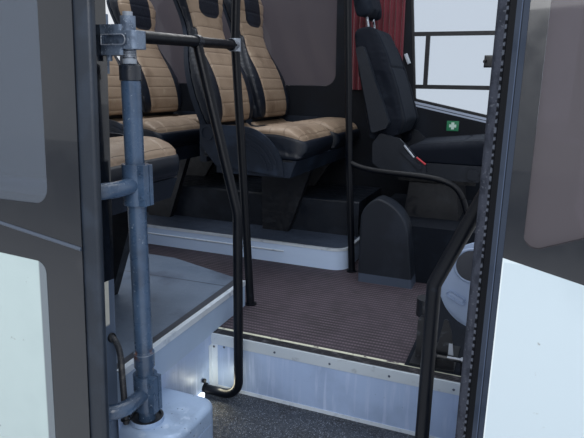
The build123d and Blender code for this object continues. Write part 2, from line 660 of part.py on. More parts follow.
# Door column with its collar, upper bush, nut, spring and pin
BUSH_R = 27.0
BUSH_HIGH = 40.0
NUT_R = 17.0
NUT_HIGH = 12.0
CASTING_Z = 954.0
CASTING_HIGH = 42.0
COLLAR_Z = 118.0
COLLAR_HIGH = 46.0
PIN_TOP_Z = 1040.0
bush_top = COLUMN_TOP_Z + BUSH_HIGH
nut_top = bush_top + NUT_HIGH
PLATE_THICK = 14.0
lower_plate_z = CASTING_Z - PLATE_THICK
with BuildPart() as door_column:
    with BuildSketch(Plane(origin=(COLUMN_X, COLUMN_Y, 0), x_dir=(1, 0, 0), z_dir=(0, -1, 0))):
        with BuildLine():
            Polyline(
                (0, COLUMN_FOOT_Z), (COLUMN_R, COLUMN_FOOT_Z), (COLUMN_R, COLLAR_Z),
                (COLUMN_R + 4, COLLAR_Z),
                (COLUMN_R + 4, COLLAR_Z + COLLAR_HIGH - 4), (COLUMN_R, COLLAR_Z + COLLAR_HIGH),
                (COLUMN_R, COLUMN_TOP_Z), (BUSH_R, COLUMN_TOP_Z + 2), (BUSH_R, bush_top - 4),
                (BUSH_R - 4, bush_top), (NUT_R, bush_top), (NUT_R, nut_top), (PIN_R, nut_top),
                (PIN_R, PIN_TOP_Z), (0, PIN_TOP_Z), close=True,
            )
        make_face()
    revolve(axis=Axis((COLUMN_X, COLUMN_Y, 0), (0, 0, 1)))
keep(door_column, "door_column")

# Bent arms, clamped to the column by split clamps with two socket screws each
ARM_ELBOW_X = COLUMN_X + ARM_LEAD_X
EYE_HIGH = 46.0
CLAMP_SLIT = 4.0
with BuildPart() as door_arms:
    for arm_z in (LOW_ARM_Z, MIDDLE_ARM_Z):
        tube = bent_bar(
            [(COLUMN_X + 2, COLUMN_Y, arm_z), (ARM_ELBOW_X, PIVOT_Y, arm_z), (PIVOT_X, PIVOT_Y, arm_z)],
            ARM_BEND_R, ARM_R)
        add(tube)
        with Locations((COLUMN_X, COLUMN_Y, arm_z)):
            Cylinder(CLAMP_R, CLAMP_HIGH)
        with BuildSketch(Plane.XY.offset(arm_z - EYE_HIGH / 2)):
            with Locations((PIVOT_X, PIVOT_Y)):
                Circle(ARM_EYE_R)
        extrude(amount=EYE_HIGH)
        with Locations((COLUMN_X + 28, COLUMN_Y - 4, arm_z)):
            Box(28, 38, CLAMP_HIGH)
        with Locations((COLUMN_X + 32, COLUMN_Y, arm_z)):
            Box(40, CLAMP_SLIT, CLAMP_HIGH + 4, mode=Mode.SUBTRACT)
        for screw_z in (arm_z - 30, arm_z + 30):
            with Locations(Location((COLUMN_X + 33, COLUMN_Y - 22, screw_z), (90, 0, 0))):
                Cylinder(7, 8)
                with Locations((0, 0, 4)):
                    Cylinder(3.4, 8, mode=Mode.SUBTRACT)
        with Locations((COLUMN_X, COLUMN_Y, arm_z)):
            Cylinder(COLUMN_R, CLAMP_HIGH + 40, mode=Mode.SUBTRACT)
        with Locations((PIVOT_X, PIVOT_Y, arm_z)):
            Cylinder(LEAF_PIN_R + RUNNING_GAP, EYE_HIGH + 20, mode=Mode.SUBTRACT)
keep(door_arms, "door_arms")

# Cast top bearing on the rear jamb, with a pocket in its outward face, and the plates that hold it
CASTING_FRONT_X = 104.0
CASTING_HALF = 26.0
CASTING_CORNER_R = 12.0
POCKET_DEEP = 9.0
POCKET_R = 11.5
POCKET_REAR_X = 12.0
POCKET_TURN_X = 70.0
BOSS_R = 18.0
BOSS_TOP_Z = 1030.0
casting_top = CASTING_Z + CASTING_HIGH
casting_out_y = COLUMN_Y - CASTING_HALF
with BuildPart() as top_bearing:
    with BuildSketch(Plane.XY.offset(CASTING_Z)):
        add(rectangle_between(JAMB_REAR_X + SEAM, CASTING_FRONT_X, casting_out_y,
                              COLUMN_Y + CASTING_HALF))
        fillet(vertices().group_by(Axis.X)[-1], CASTING_CORNER_R)
        with Locations((COLUMN_X, COLUMN_Y)):
            Circle(PIN_R + RUNNING_GAP, mode=Mode.SUBTRACT)
    extrude(amount=CASTING_HIGH)
    with BuildSketch(Plane(origin=(0, casting_out_y, CASTING_Z + CASTING_HIGH / 2), x_dir=(1, 0, 0),
                           z_dir=(0, -1, 0))):
        add(rectangle_between(POCKET_REAR_X, POCKET_TURN_X, -POCKET_R, POCKET_R))
        with Locations((POCKET_TURN_X, 0)):
            Circle(POCKET_R)
    extrude(amount=-POCKET_DEEP, mode=Mode.SUBTRACT)
    with BuildSketch(Plane.XY.offset(casting_top)):
        with Locations((COLUMN_X, COLUMN_Y)):
            Circle(BOSS_R)
            Circle(PIN_R + RUNNING_GAP, mode=Mode.SUBTRACT)
    extrude(amount=BOSS_TOP_Z - casting_top)
keep(top_bearing, "top_bearing")
PLATE_FRONT_X = 66.0
BRACKET_REACH = 60.0
BRACKET_THICK = 8.0
HOOK_R = 7.0
with BuildPart() as bearing_plates:
    for plate_z in (casting_top, lower_plate_z):
        with BuildSketch(Plane.XY.offset(plate_z)):
            add(rectangle_between(JAMB_REAR_X + SEAM, PLATE_FRONT_X, casting_out_y,
                                  COLUMN_Y + CASTING_HALF + 8))
            fillet(vertices().group_by(Axis.X)[-1], 8)
        extrude(amount=PLATE_THICK)
        with BuildSketch(Plane.XY.offset(plate_z)):
            add(rectangle_between(JAMB_REAR_X - BRACKET_REACH, PLATE_FRONT_X - 20, COLUMN_Y - 6,
                                  COLUMN_Y + CASTING_HALF + 8))
        extrude(amount=PLATE_THICK)
    with BuildSketch(kerb_side.offset(-WALL - SEAM)):
        add(rectangle_between(JAMB_REAR_X - BRACKET_REACH, JAMB_REAR_X - SEAM, lower_plate_z - 40,
                              casting_top + PLATE_THICK + 30))
    extrude(amount=-BRACKET_THICK)
    with BuildSketch(Plane.XY.offset(lower_plate_z - 14)):
        with Locations((JAMB_REAR_X + 14, COLUMN_Y - 14)):
            Circle(HOOK_R)
    extrude(amount=14)
    with Locations((COLUMN_X, COLUMN_Y, CASTING_Z)):
        Cylinder(BOSS_R + 2, 3 * CASTING_HIGH, mode=Mode.SUBTRACT)
    add(kerb_window_panels.part, mode=Mode.SUBTRACT)
keep(bearing_plates, "bearing_plates")

# Leaf, drawn where it stands open: frame, panes, white lower panel and edge seal
leaf_x_rear = LEAF_REAR_X
leaf_x_front = LEAF_FRONT_X - LEAF_SEAL_WIDE
PANEL_EDGE_X = LEAF_FRONT_X - 149.0
PANEL_DEEP = 3.0
PANEL_R = 30.0
with BuildSketch() as leaf_outline:
    add(rectangle_between(leaf_x_rear, leaf_x_front, LEAF_FOOT_Z, LEAF_TOP_Z))
with BuildSketch() as leaf_glass_outline:
    add(rectangle_between(leaf_x_rear + LEAF_BORDER, LEAF_FRONT_X - 134, LEAF_WINDOW_Z,
                          LEAF_TOP_Z - LEAF_BORDER))
    fillet(leaf_glass_outline.vertices(), 40)
with BuildSketch() as leaf_panel_outline:
    with BuildLine():
        Polyline(
            (leaf_x_rear + 60, LEAF_FOOT_Z + 40),
            (PANEL_EDGE_X, LEAF_FOOT_Z + 40),
            (PANEL_EDGE_X, LEAF_PANEL_TOP_Z),
            (leaf_x_rear + 60,
             LEAF_PANEL_TOP_Z + LEAF_PANEL_RISE * (PANEL_EDGE_X - leaf_x_rear - 60)),
            close=True,
        )
    make_face()
    fillet(leaf_panel_outline.vertices(), PANEL_R)
with BuildPart() as leaf_frame:
    with BuildSketch(leaf_side):
        add(leaf_outline.sketch)
        add(leaf_glass_outline.sketch, mode=Mode.SUBTRACT)
    extrude(amount=-LEAF_WALL)
    with BuildSketch(leaf_side):
        add(leaf_panel_outline.sketch)
    extrude(amount=-PANEL_DEEP, mode=Mode.SUBTRACT)
keep(leaf_frame, "leaf_frame")
with BuildPart() as leaf_panel:
    with BuildSketch(leaf_side.offset(-PANEL_DEEP)):
        offset(leaf_panel_outline.sketch, amount=-SEAM)
    extrude(amount=PANEL_DEEP + 1)
keep(leaf_panel, "leaf_panel")
with BuildPart() as leaf_glass:
    with BuildSketch(leaf_side.offset(-2)):
        offset(leaf_glass_outline.sketch, amount=-SEAM)
    extrude(amount=-PANE)
keep(leaf_glass, "leaf_glass")
with BuildPart() as leaf_seal:
    with BuildSketch(leaf_side.offset(-4)):
        add(rectangle_between(leaf_x_front + SEAM, LEAF_FRONT_X, LEAF_FOOT_Z, LEAF_TOP_Z))
    extrude(amount=-LEAF_WALL + 8)
    fillet(leaf_seal.edges().filter_by(lambda edge: edge.length > 1000).sort_by(Axis.X)[-2:], 9)
keep(leaf_seal, "leaf_seal")

# Brackets and pins that hang the leaf on the arms' eyes
LUG_THICK = 10.0
LUG_GAP = 5.0
with BuildPart() as leaf_brackets:
    for arm_z in (LOW_ARM_Z, MIDDLE_ARM_Z):
        inner_y = kerb_y(arm_z, LEAF_WALL - LEAF_OUT)
        lug_z = EYE_HIGH / 2 + LUG_GAP
        for low_z in (arm_z - lug_z - LUG_THICK, arm_z + lug_z):
            with BuildSketch(Plane.XY.offset(low_z)):
                with BuildLine():
                    Polyline((PIVOT_X - 45, inner_y + 4), (PIVOT_X + 45, inner_y + 4),
                             (PIVOT_X + 18, PIVOT_Y),
                             (PIVOT_X - 18, PIVOT_Y), close=True)
                make_face()
                with Locations((PIVOT_X, PIVOT_Y)):
                    Circle(20)
            extrude(amount=LUG_THICK)
        with BuildSketch(leaf_side.offset(-LEAF_WALL - SEAM)):
            add(rectangle_between(PIVOT_X - 60, PIVOT_X + 60, arm_z - lug_z - LUG_THICK - 12,
                                  arm_z + lug_z + LUG_THICK + 12))
        extrude(amount=-8)
        with Locations((PIVOT_X, PIVOT_Y, arm_z)):
            Cylinder(LEAF_PIN_R, 2 * (lug_z + LUG_THICK) + 12)
keep(leaf_brackets, "leaf_brackets")

# Grab rails
RAIL_FLANGE_R = 25.0
FLANGE_THICK = 5.0
stanchion_foot = (4, STANCHION_Y, 0)
STANCHION_MID_Z = 1015.0
STANCHION_MID_X = -59.0
with BuildPart() as rear_stanchion:
    add(bent_bar([stanchion_foot, (-24, STANCHION_Y, 472),
                  (STANCHION_MID_X, STANCHION_Y, STANCHION_MID_Z),
                  (-52, STANCHION_Y, 1200), (-52, STANCHION_Y, HEADER_Z)], 300, RAIL_R))
    with Locations((stanchion_foot[0], STANCHION_Y, FLANGE_THICK / 2)):
        Cylinder(RAIL_FLANGE_R, FLANGE_THICK)
    split(bisect_by=Plane.XY, keep=Keep.TOP)
    split(bisect_by=Plane.XY.offset(HEADER_Z), keep=Keep.BOTTOM)
keep(rear_stanchion, "rear_stanchion")
cross_start = (COLUMN_X - 2, COLUMN_Y + CASTING_HALF - 3, CROSS_RAIL_Z)
cross_end = (STANCHION_MID_X, STANCHION_Y, STANCHION_MID_Z)
with BuildPart() as cross_rail:
    with BuildSketch(Plane(origin=cross_start, z_dir=Vector(*cross_end) - Vector(*cross_start))):
        Circle(RAIL_R)
    extrude(amount=(Vector(*cross_end) - Vector(*cross_start)).length)
    add(rear_stanchion.part, mode=Mode.SUBTRACT)
    add(top_bearing.part, mode=Mode.SUBTRACT)
    add(bearing_plates.part, mode=Mode.SUBTRACT)
keep(cross_rail, "cross_rail")


def cross_point(y):
    """The place on the cross rail's axis at a place across the bus."""
    share = (y - cross_start[1]) / (cross_end[1] - cross_start[1])
    return tuple(a + share * (b - a) for a, b in zip(cross_start, cross_end))


FRONT_RAIL_LOW_Z = -187.0
front_top = cross_point(FRONT_RAIL_Y)
with BuildPart() as front_rail:
    add(bent_bar([front_top, (FRONT_RAIL_X, FRONT_RAIL_Y, 470),
                  (FRONT_RAIL_X, FRONT_RAIL_Y, FRONT_RAIL_LOW_Z),
                  (edge_x(FRONT_RAIL_Y) + 1.5, FRONT_RAIL_Y, FRONT_RAIL_LOW_Z)], 60, RAIL_R))
    with BuildSketch(Plane.YZ.offset(edge_x(FRONT_RAIL_Y) + 1.5)):
        with Locations((FRONT_RAIL_Y, FRONT_RAIL_LOW_Z + 2)):
            Circle(RAIL_R + 3)
    extrude(amount=FLANGE_THICK)
    add(cross_rail.part, mode=Mode.SUBTRACT)
keep(front_rail, "front_rail")
with BuildPart() as entry_rail:
    add(bent_bar([(ENTRY_RAIL_X, ENTRY_RAIL_Y, tread_z), (ENTRY_RAIL_X, ENTRY_RAIL_Y, 460),
                  (940, ENTRY_RAIL_Y, 740),
                  (940, ENTRY_RAIL_Y, 1150), (940, kerb_y(1150, WALL) + 1, 1150)], 30, RAIL_R))
    with Locations((ENTRY_RAIL_X, ENTRY_RAIL_Y, tread_z + FLANGE_THICK / 2)):
        Cylinder(RAIL_FLANGE_R + 6, FLANGE_THICK)
    split(bisect_by=Plane.XY.offset(tread_z), keep=Keep.TOP)
keep(entry_rail, "entry_rail")

# Plated clamps where the rails meet
with BuildPart() as rail_clamps:
    with Locations(cross_end):
        Cylinder(RAIL_R + 6, 46)
    tee_start = Vector(*cross_end)
    tee_way = Vector(*cross_start) - tee_start
    with BuildSketch(Plane(origin=tee_start, z_dir=tee_way)):
        Circle(RAIL_R + 5)
    extrude(amount=52)
    eye_start = Vector(*cross_point(FRONT_RAIL_Y - 14))
    with BuildSketch(Plane(origin=eye_start, z_dir=-tee_way)):
        Circle(RAIL_R + 5)
    extrude(amount=28)
    add(cross_rail.part, mode=Mode.SUBTRACT)
    add(rear_stanchion.part, mode=Mode.SUBTRACT)
    add(front_rail.part, mode=Mode.SUBTRACT)
keep(rail_clamps, "rail_clamps")

# Driver's stanchion and the hoop beside the cab
hoop_top = (228, CAB_RAIL_Y, 528)
with BuildPart() as driver_stanchion:
    add(bent_bar([(262, CAB_RAIL_Y, 0), (228, CAB_RAIL_Y, 525), (192, CAB_RAIL_Y, 1238),
                  (170, CAB_RAIL_Y, HEADER_Z)], 300, RAIL_R))
    with Locations((262, CAB_RAIL_Y, FLANGE_THICK / 2)):
        Cylinder(RAIL_FLANGE_R, FLANGE_THICK)
    split(bisect_by=Plane.XY, keep=Keep.TOP)
    split(bisect_by=Plane.XY.offset(HEADER_Z), keep=Keep.BOTTOM)
keep(driver_stanchion, "driver_stanchion")
with BuildPart() as guard_hoop:
    add(bent_bar([hoop_top, (300, CAB_RAIL_Y, 500), (645, CAB_RAIL_Y, 487), (745, CAB_RAIL_Y, 425),
                  (785, CAB_RAIL_Y, CAB_FLOOR_Z)], 45, RAIL_R - 3))
    with Locations((785, CAB_RAIL_Y, CAB_FLOOR_Z + 2)):
        Cylinder(RAIL_R, 4)
    add(driver_stanchion.part, mode=Mode.SUBTRACT)
    split(bisect_by=Plane.XY.offset(CAB_FLOOR_Z), keep=Keep.TOP)
keep(guard_hoop, "guard_hoop")

# Speaker panel beside the step, on a foot on the grey sheet
PANEL_Y = 150.0
PANEL_THICK = 36.0
SPEAKER_R = 52.0
SPEAKER_X = 905.0
SPEAKER_Z = 330.0
SPEAKER_DEEP = 10.0
with BuildPart() as speaker_panel:
    with BuildSketch(across(PANEL_Y)):
        with BuildLine():
            Polyline((-766, 253), (-862, 406), (-1120, 406), (-1120, 137), (-854, 137), close=True)
        make_face()
        fillet(vertices().sort_by(Axis.X)[-1], 14)
    extrude(amount=PANEL_THICK)
    with BuildSketch(across(PANEL_Y)):
        with Locations((-SPEAKER_X, SPEAKER_Z)):
            Circle(SPEAKER_R)
    extrude(amount=SPEAKER_DEEP, mode=Mode.SUBTRACT)
    with BuildSketch(across(PANEL_Y + 3)):
        with Locations((-SPEAKER_X, SPEAKER_Z)):
            Circle(SPEAKER_R - 5)
    extrude(amount=SPEAKER_DEEP)
    with BuildSketch(across(PANEL_Y)):
        add(rectangle_between(-1100, -930, 0, 140))
    extrude(amount=PANEL_THICK)
keep(speaker_panel, "speaker_panel")
# Door drive on the grey sheet: gearbox, triangular bracket and the rod with its ball joints
GEAR_Y = 60.0
ROD_R = 7.0
ROD_Z = 42.0
with BuildPart() as door_gear:
    with BuildSketch(Plane.XY):
        add(rectangle_between(MAT_END_X + 14, 840, GEAR_Y, GEAR_Y + 190))
    extrude(amount=6)
    with BuildSketch(across(GEAR_Y + 50)):
        add(rectangle_between(-760, -MAT_END_X - 24, 6, 150))
        fillet(vertices().group_by(Axis.Y)[-1], 20)
    extrude(amount=110)
    with Locations((728, GEAR_Y + 105, 165)):
        Cylinder(34, 60)
    with BuildSketch(across(GEAR_Y + 26)):
        with BuildLine():
            Polyline((-770, 4), (-838, 4), (-822, 120), (-800, 190), close=True)
        make_face()
        fillet(vertices().group_by(Axis.Y)[-1], 8)
    extrude(amount=6)
    with Locations(Location((820, GEAR_Y + 10, ROD_Z), (0, 90, 0))):
        Cylinder(ROD_R, 90)
    for ball_x in (775, 865):
        with Locations((ball_x, GEAR_Y + 10, ROD_Z)):
            Sphere(12)
    with Locations((865, GEAR_Y + 10, ROD_Z / 2)):
        Cylinder(6, ROD_Z)
    with Locations((775, GEAR_Y + 10, (ROD_Z + 6) / 2)):
        Cylinder(6, ROD_Z - 6)
keep(door_gear, "door_gear")

# Step lamp on the side wall of the well
with BuildPart() as step_lamp:
    with Locations((edge_x(-108) + 7 + SEAM, -95, -198)):
        Box(14, 26, 16)
    fillet(step_lamp.edges().filter_by(Axis.Z), 3)
keep(step_lamp, "step_lamp")

# Passenger seats, front row first. Columns: cushion's nose X, near side Y, width
pair_aisle_y = PAIR_FAR_Y - 2 * SEAT_WIDE - SEAT_GAP
SEATS = (
    (SINGLE_FRONT_X, SINGLE_AISLE_Y - SINGLE_WIDE, SINGLE_WIDE),
    (PAIR_FRONT_X, pair_aisle_y, SEAT_WIDE),
    (PAIR_FRONT_X, PAIR_FAR_Y - SEAT_WIDE, SEAT_WIDE),
    (PAIR_FRONT_X - SEAT_PITCH, pair_aisle_y, SEAT_WIDE),
    (PAIR_FRONT_X - SEAT_PITCH, PAIR_FAR_Y - SEAT_WIDE, SEAT_WIDE),
)
CUSHION_CORNER_R = 60.0
CUSHION_UNDER_BACK = 52.0
SHELL_THICK = 14.0
SHELL_INSET = 6.0
PAN_THICK = 8.0
BEAM = 40.0
BEAM_WIDE = 30.0
lean = radians(BACK_LEAN)
cushion_foot_z = PAN_Z + PAN_THICK + SEAM
back_foot_z = CUSHION_TOP_Z + SEAM
cushion_deep = SEAT_DEEP + CUSHION_UNDER_BACK

# The back seen from the front. Columns: height up the lean, half width as a share of the seat's half
BACK_OUTLINE = ((0, 0.86), (95, 0.97), (200, 1.0), (300, 0.91), (380, 0.76), (450, 0.66), (520, 0.68),
                (600, 0.78), (670, 0.8))
# The back seen from the side. Columns: height up the lean, how far its face stands forward
BACK_SWELL = ((0, 14), (70, 30), (160, 36), (250, 28), (350, 8), (440, 0), (530, 8), (640, 26),
              (720, 32))


def back_point(nose_x, along, depth):
    """A place on a seat back: along its lean from the foot, and rearwards from its front face."""
    x = nose_x - SEAT_DEEP - along * sin(lean) - depth * cos(lean)
    return x, back_foot_z + along * cos(lean) - depth * sin(lean)


def back_outline(nose_x, near_y, width, inset):
    """The seat back's outline from the front: wide at the waist, narrow at the neck, round on top."""
    middle_y = near_y + width / 2
    sides = [(share * width / 2 - inset, back_point(nose_x, along, 0)[1]) for along, share in BACK_OUTLINE]
    foot_wide, foot_z = sides[0]
    top_wide, top_z = sides[-1]
    crown_z = back_point(nose_x, BACK_HIGH, 0)[1] - inset
    with BuildSketch(Plane.YZ.offset(nose_x)) as outline:
        with BuildLine():
            Spline(*[(middle_y - wide, z) for wide, z in sides])
            Spline(*[(middle_y + wide, z) for wide, z in sides])
            ThreePointArc((middle_y - top_wide, top_z), (middle_y, crown_z), (middle_y + top_wide, top_z))
            Polyline((middle_y - foot_wide, foot_z), (middle_y - foot_wide, SKIRT_Z),
                     (middle_y + foot_wide, SKIRT_Z), (middle_y + foot_wide, foot_z))
        make_face()
    return outline.sketch


def seat_cushion(nose_x, near_y, width):
    """One cushion: crowned, falling to its nose, with rounded front corners."""
    rear_x = nose_x - cushion_deep
    with BuildPart() as cushion:
        with BuildSketch(Plane.XZ.offset(-near_y - width)):
            with BuildLine():
                Spline((nose_x - 10, cushion_foot_z + 20), (nose_x, cushion_foot_z + 74),
                       (nose_x - 30, CUSHION_TOP_Z - CUSHION_SLOPE),
                       (nose_x - 200, CUSHION_TOP_Z), (rear_x, CUSHION_TOP_Z))
                Polyline((rear_x, CUSHION_TOP_Z), (rear_x, cushion_foot_z),
                         (nose_x - 40, cushion_foot_z),
                         (nose_x - 10, cushion_foot_z + 20))
            make_face()
        extrude(amount=width)
        with BuildSketch(Plane.XY.offset(cushion_foot_z)):
            add(rectangle_between(rear_x, nose_x + 10, near_y, near_y + width))
            fillet(vertices().group_by(Axis.X)[-1], CUSHION_CORNER_R)
        extrude(amount=CUSHION_TOP_Z, mode=Mode.INTERSECT)
        split(bisect_by=Plane(origin=back_point(nose_x, 0, 0)[:1] + (0, back_foot_z - SEAM),
                              z_dir=(0, 0, 1)), keep=Keep.BOTTOM)
    return cushion.part


def seat_back(nose_x, near_y, width):
    """One back with its headrest in one piece: wide at the waist, narrow at the neck."""
    with BuildPart() as back:
        with BuildSketch(Plane.XZ.offset(-near_y - width)):
            with BuildLine():
                Spline(*[back_point(nose_x, along, -swell) for along, swell in BACK_SWELL])
                Polyline(
                    back_point(nose_x, BACK_SWELL[-1][0], -BACK_SWELL[-1][1]),
                    back_point(nose_x, BACK_HIGH, -BACK_SWELL[-1][1] + 16),
                    back_point(nose_x, BACK_HIGH, BACK_THICK),
                    back_point(nose_x, BACK_THICK * tan(lean), BACK_THICK),
                    (back_point(nose_x, 0, -BACK_SWELL[0][1])[0], back_foot_z),
                    back_point(nose_x, BACK_SWELL[0][0], -BACK_SWELL[0][1]),
                )
            make_face()
        extrude(amount=width)
        extrude(back_outline(nose_x, near_y, width, 0), amount=1000, dir=(-1, 0, 0), mode=Mode.INTERSECT)
    return back.part


with BuildPart() as seat_cushions:
    for nose_x, near_y, width in SEATS:
        add(seat_cushion(nose_x, near_y, width))
keep(seat_cushions, "seat_cushions")
with BuildPart() as seat_backs:
    for nose_x, near_y, width in SEATS:
        add(seat_back(nose_x, near_y, width))
keep(seat_backs, "seat_backs")

# Moulded shells behind the backs, skirts round the pans, and ribbed side shields at the seat hinges
SHIELD_THICK = 12.0
SHIELD_R = 215.0
SHIELD_TURN = 310.0
SHIELD_HUB = 171.0
HUB_R = 39.0
RIB_HIGH = 4.0
RIB_WIDE = 9.0
RIB_RADII = (190.0, 165.0, 140.0)
SKIRT_WALL = 10.0
shield_z = PAN_Z - 65
# Columns: nose X, near face of the shield, side that its ribs are on
SHIELDS = (
    (SINGLE_FRONT_X, SINGLE_AISLE_Y + SEAM, 1),
    (SINGLE_FRONT_X, SINGLE_AISLE_Y - SINGLE_WIDE - SHIELD_THICK - SEAM, -1),
    (PAIR_FRONT_X, pair_aisle_y - SHIELD_THICK - SEAM, -1),
    (PAIR_FRONT_X, PAIR_FAR_Y + SEAM, 1),
    (PAIR_FRONT_X - SEAT_PITCH, pair_aisle_y - SHIELD_THICK - SEAM, -1),
    (PAIR_FRONT_X - SEAT_PITCH, PAIR_FAR_Y + SEAM, 1),
)
# Columns: nose X, near side Y, far side Y of one frame and skirt
ROWS = (
    (SINGLE_FRONT_X, SINGLE_AISLE_Y - SINGLE_WIDE, SINGLE_AISLE_Y),
    (PAIR_FRONT_X, pair_aisle_y, PAIR_FAR_Y),
    (PAIR_FRONT_X - SEAT_PITCH, pair_aisle_y, PAIR_FAR_Y),
)


def side_shield(nose_x, side_y, rib_side):
    """A fan-shaped shield: a hub at the hinge, a round front edge and three raised ribs."""
    turn_x = SHIELD_TURN - nose_x
    hub = (turn_x + SHIELD_HUB, shield_z + SHIELD_R - HUB_R)
    rib_y = side_y - RIB_HIGH if rib_side < 0 else side_y + SHIELD_THICK
    with BuildPart() as shield:
        with BuildSketch(across(side_y)):
            with BuildLine():
                Line((hub[0], hub[1] + HUB_R), (turn_x, shield_z + SHIELD_R))
                CenterArc((turn_x, shield_z), SHIELD_R, 90, 90)
                Polyline((turn_x - SHIELD_R, shield_z), (turn_x - SHIELD_R + 66, shield_z + 6),
                         (turn_x + 130, shield_z + 30),
                         (hub[0] + HUB_R, hub[1] - 50), (hub[0] + HUB_R, hub[1]))
                CenterArc(hub, HUB_R, 0, 90)
            make_face()
        extrude(amount=SHIELD_THICK)
        with BuildSketch(across(rib_y)):
            for radius in RIB_RADII:
                with BuildLine():
                    outer = CenterArc((turn_x, shield_z), radius, 92, 78)
                    inner = CenterArc((turn_x, shield_z), radius - RIB_WIDE, 92, 78)
                    Line(outer @ 0, inner @ 0)
                    Line(outer @ 1, inner @ 1)
                make_face()
            with Locations(hub):
                Circle(HUB_R - 5)
                Circle(HUB_R - 12, mode=Mode.SUBTRACT)
        extrude(amount=RIB_HIGH)
    return shield.part


def back_shell(nose_x, near_y, width):
    """The moulded shell behind one back, reaching down behind the pan."""
    rear_x = nose_x - cushion_deep
    with BuildPart() as shell:
        with BuildSketch(Plane.XZ.offset(-near_y - width)):
            with BuildLine():
                Polyline(
                    back_point(nose_x, BACK_HIGH - 40, BACK_THICK + SEAM),
                    back_point(nose_x, BACK_HIGH - 40, BACK_THICK + SHELL_THICK),
                    back_point(nose_x, 40, BACK_THICK + SHELL_THICK + 16),
                    (rear_x - 40, PAN_Z - 30),
                    (rear_x - 4, PAN_Z - 30),
                    (rear_x - 4, back_foot_z - 30),
                    back_point(nose_x, BACK_THICK * tan(lean), BACK_THICK + SEAM),
                    close=True,
                )
            make_face()
        extrude(amount=width)
        outline = back_outline(nose_x, near_y, width, SHELL_INSET)
        extrude(outline, amount=1000, dir=(-1, 0, 0), mode=Mode.INTERSECT)
    return shell.part


with BuildPart() as seat_shells:
    for nose_x, near_y, width in SEATS:
        add(back_shell(nose_x, near_y, width))
    for nose_x, side_y, rib_side in SHIELDS:
        add(side_shield(nose_x, side_y, rib_side))
    for nose_x, near_y, row_far_y in ROWS:
        foot_x = nose_x - 70
        with BuildPart(mode=Mode.PRIVATE) as skirt:
            with BuildSketch(across(near_y)):
                with BuildLine():
                    Polyline((-nose_x + 40, PAN_Z + PAN_THICK), (-foot_x, SKIRT_Z),
                             (-nose_x + 440, SKIRT_Z),
                             (-nose_x + 440, PAN_Z - SEAM), (-nose_x + 58, PAN_Z - SEAM),
                             (-nose_x + 58, PAN_Z + PAN_THICK), close=True)
                make_face()
            extrude(amount=row_far_y - near_y)
            with BuildSketch(across(near_y + SKIRT_WALL)):
                with BuildLine():
                    Polyline((-nose_x + 58, PAN_Z + 20), (-nose_x + 58, PAN_Z - 4),
                             (-foot_x + 16, SKIRT_Z - 10),
                             (-nose_x + 440 - SKIRT_WALL, SKIRT_Z - 10),
                             (-nose_x + 440 - SKIRT_WALL, PAN_Z + 20), close=True)
                make_face()
            extrude(amount=row_far_y - near_y - 2 * SKIRT_WALL, mode=Mode.SUBTRACT)
        add(skirt.part)
keep(seat_shells, "seat_shells")

# Seat frames: pans on two beams, with one box leg and a foot at the wall side.
# Columns: leg's middle Y, leg's floor Z, foot's middle Y, foot's floor Z, for each row
LEG_WIDE = 40.0
FRAME_LEGS = (
    (SINGLE_AISLE_Y - 3 * LEG_WIDE, PLATFORM_Z, SINGLE_AISLE_Y - SINGLE_WIDE + 2 * LEG_WIDE, PLATFORM_Z),
    (DUCT_Y - LEG_WIDE, PODIUM_Z, PAIR_FAR_Y - 2 * LEG_WIDE, DUCT_Z),
    (DUCT_Y - LEG_WIDE, PODIUM_Z, PAIR_FAR_Y - 2 * LEG_WIDE, DUCT_Z),
)
beam_in = SKIRT_WALL + SEAM
with BuildPart() as seat_frames:
    for (nose_x, near_y, row_far_y), (leg_y, leg_z, foot_y, foot_z) in zip(ROWS, FRAME_LEGS):
        for beam_x in (nose_x - 100, nose_x - 380):
            with BuildSketch(Plane.YZ.offset(beam_x)):
                add(rectangle_between(near_y + beam_in, row_far_y - beam_in, PAN_Z - BEAM, PAN_Z))
            extrude(amount=-BEAM_WIDE)
        with BuildSketch(Plane.XY.offset(PAN_Z)):
            add(rectangle_between(nose_x - cushion_deep - 1.5, nose_x - 60, near_y + 4, row_far_y - 4))
        extrude(amount=PAN_THICK)
        for middle_y, floor_z in ((leg_y, leg_z), (foot_y, foot_z)):
            with BuildSketch(across(middle_y - LEG_WIDE / 2)):
                with BuildLine():
                    Polyline((-nose_x + 100, PAN_Z - BEAM / 2), (-nose_x + 250, floor_z),
                             (-nose_x + 400, floor_z),
                             (-nose_x + 410, PAN_Z - BEAM / 2), close=True)
                make_face()
            extrude(amount=LEG_WIDE)
keep(seat_frames, "seat_frames")

# Driver's seat: fixed pedestal with rails, then the sliding base, cushion, back and armrest
PEDESTAL_Z = 430.0
SLIDE_HIGH = 26.0
DRIVER_NOSE_X = 850.0
RECLINE_X = 372.0
RECLINE_Z = 600.0
DRIVER_BACK_HIGH = 570.0
HINGE_OUT = 4.0
COVER_THICK = 18.0
driver_far_y = DRIVER_Y + DRIVER_WIDE
driver_lean = radians(DRIVER_LEAN)
driver_top_z = RECLINE_Z + DRIVER_BACK_HIGH + 10
driver_waist_z = RECLINE_Z + 350
with BuildPart() as driver_pedestal:
    with BuildSketch(across(DRIVER_Y + 50)):
        with BuildLine():
            Polyline((-460, CAB_FLOOR_Z), (-720, CAB_FLOOR_Z), (-700, PEDESTAL_Z), (-480, PEDESTAL_Z),
                     close=True)
        make_face()
    extrude(amount=DRIVER_WIDE - 100)
    for rail_y in (DRIVER_Y + 70, driver_far_y - 100):
        with BuildSketch(across(rail_y)):
            add(rectangle_between(-780, -420, PEDESTAL_Z, PEDESTAL_Z + SLIDE_HIGH))
        extrude(amount=30)
keep(driver_pedestal, "driver_pedestal")
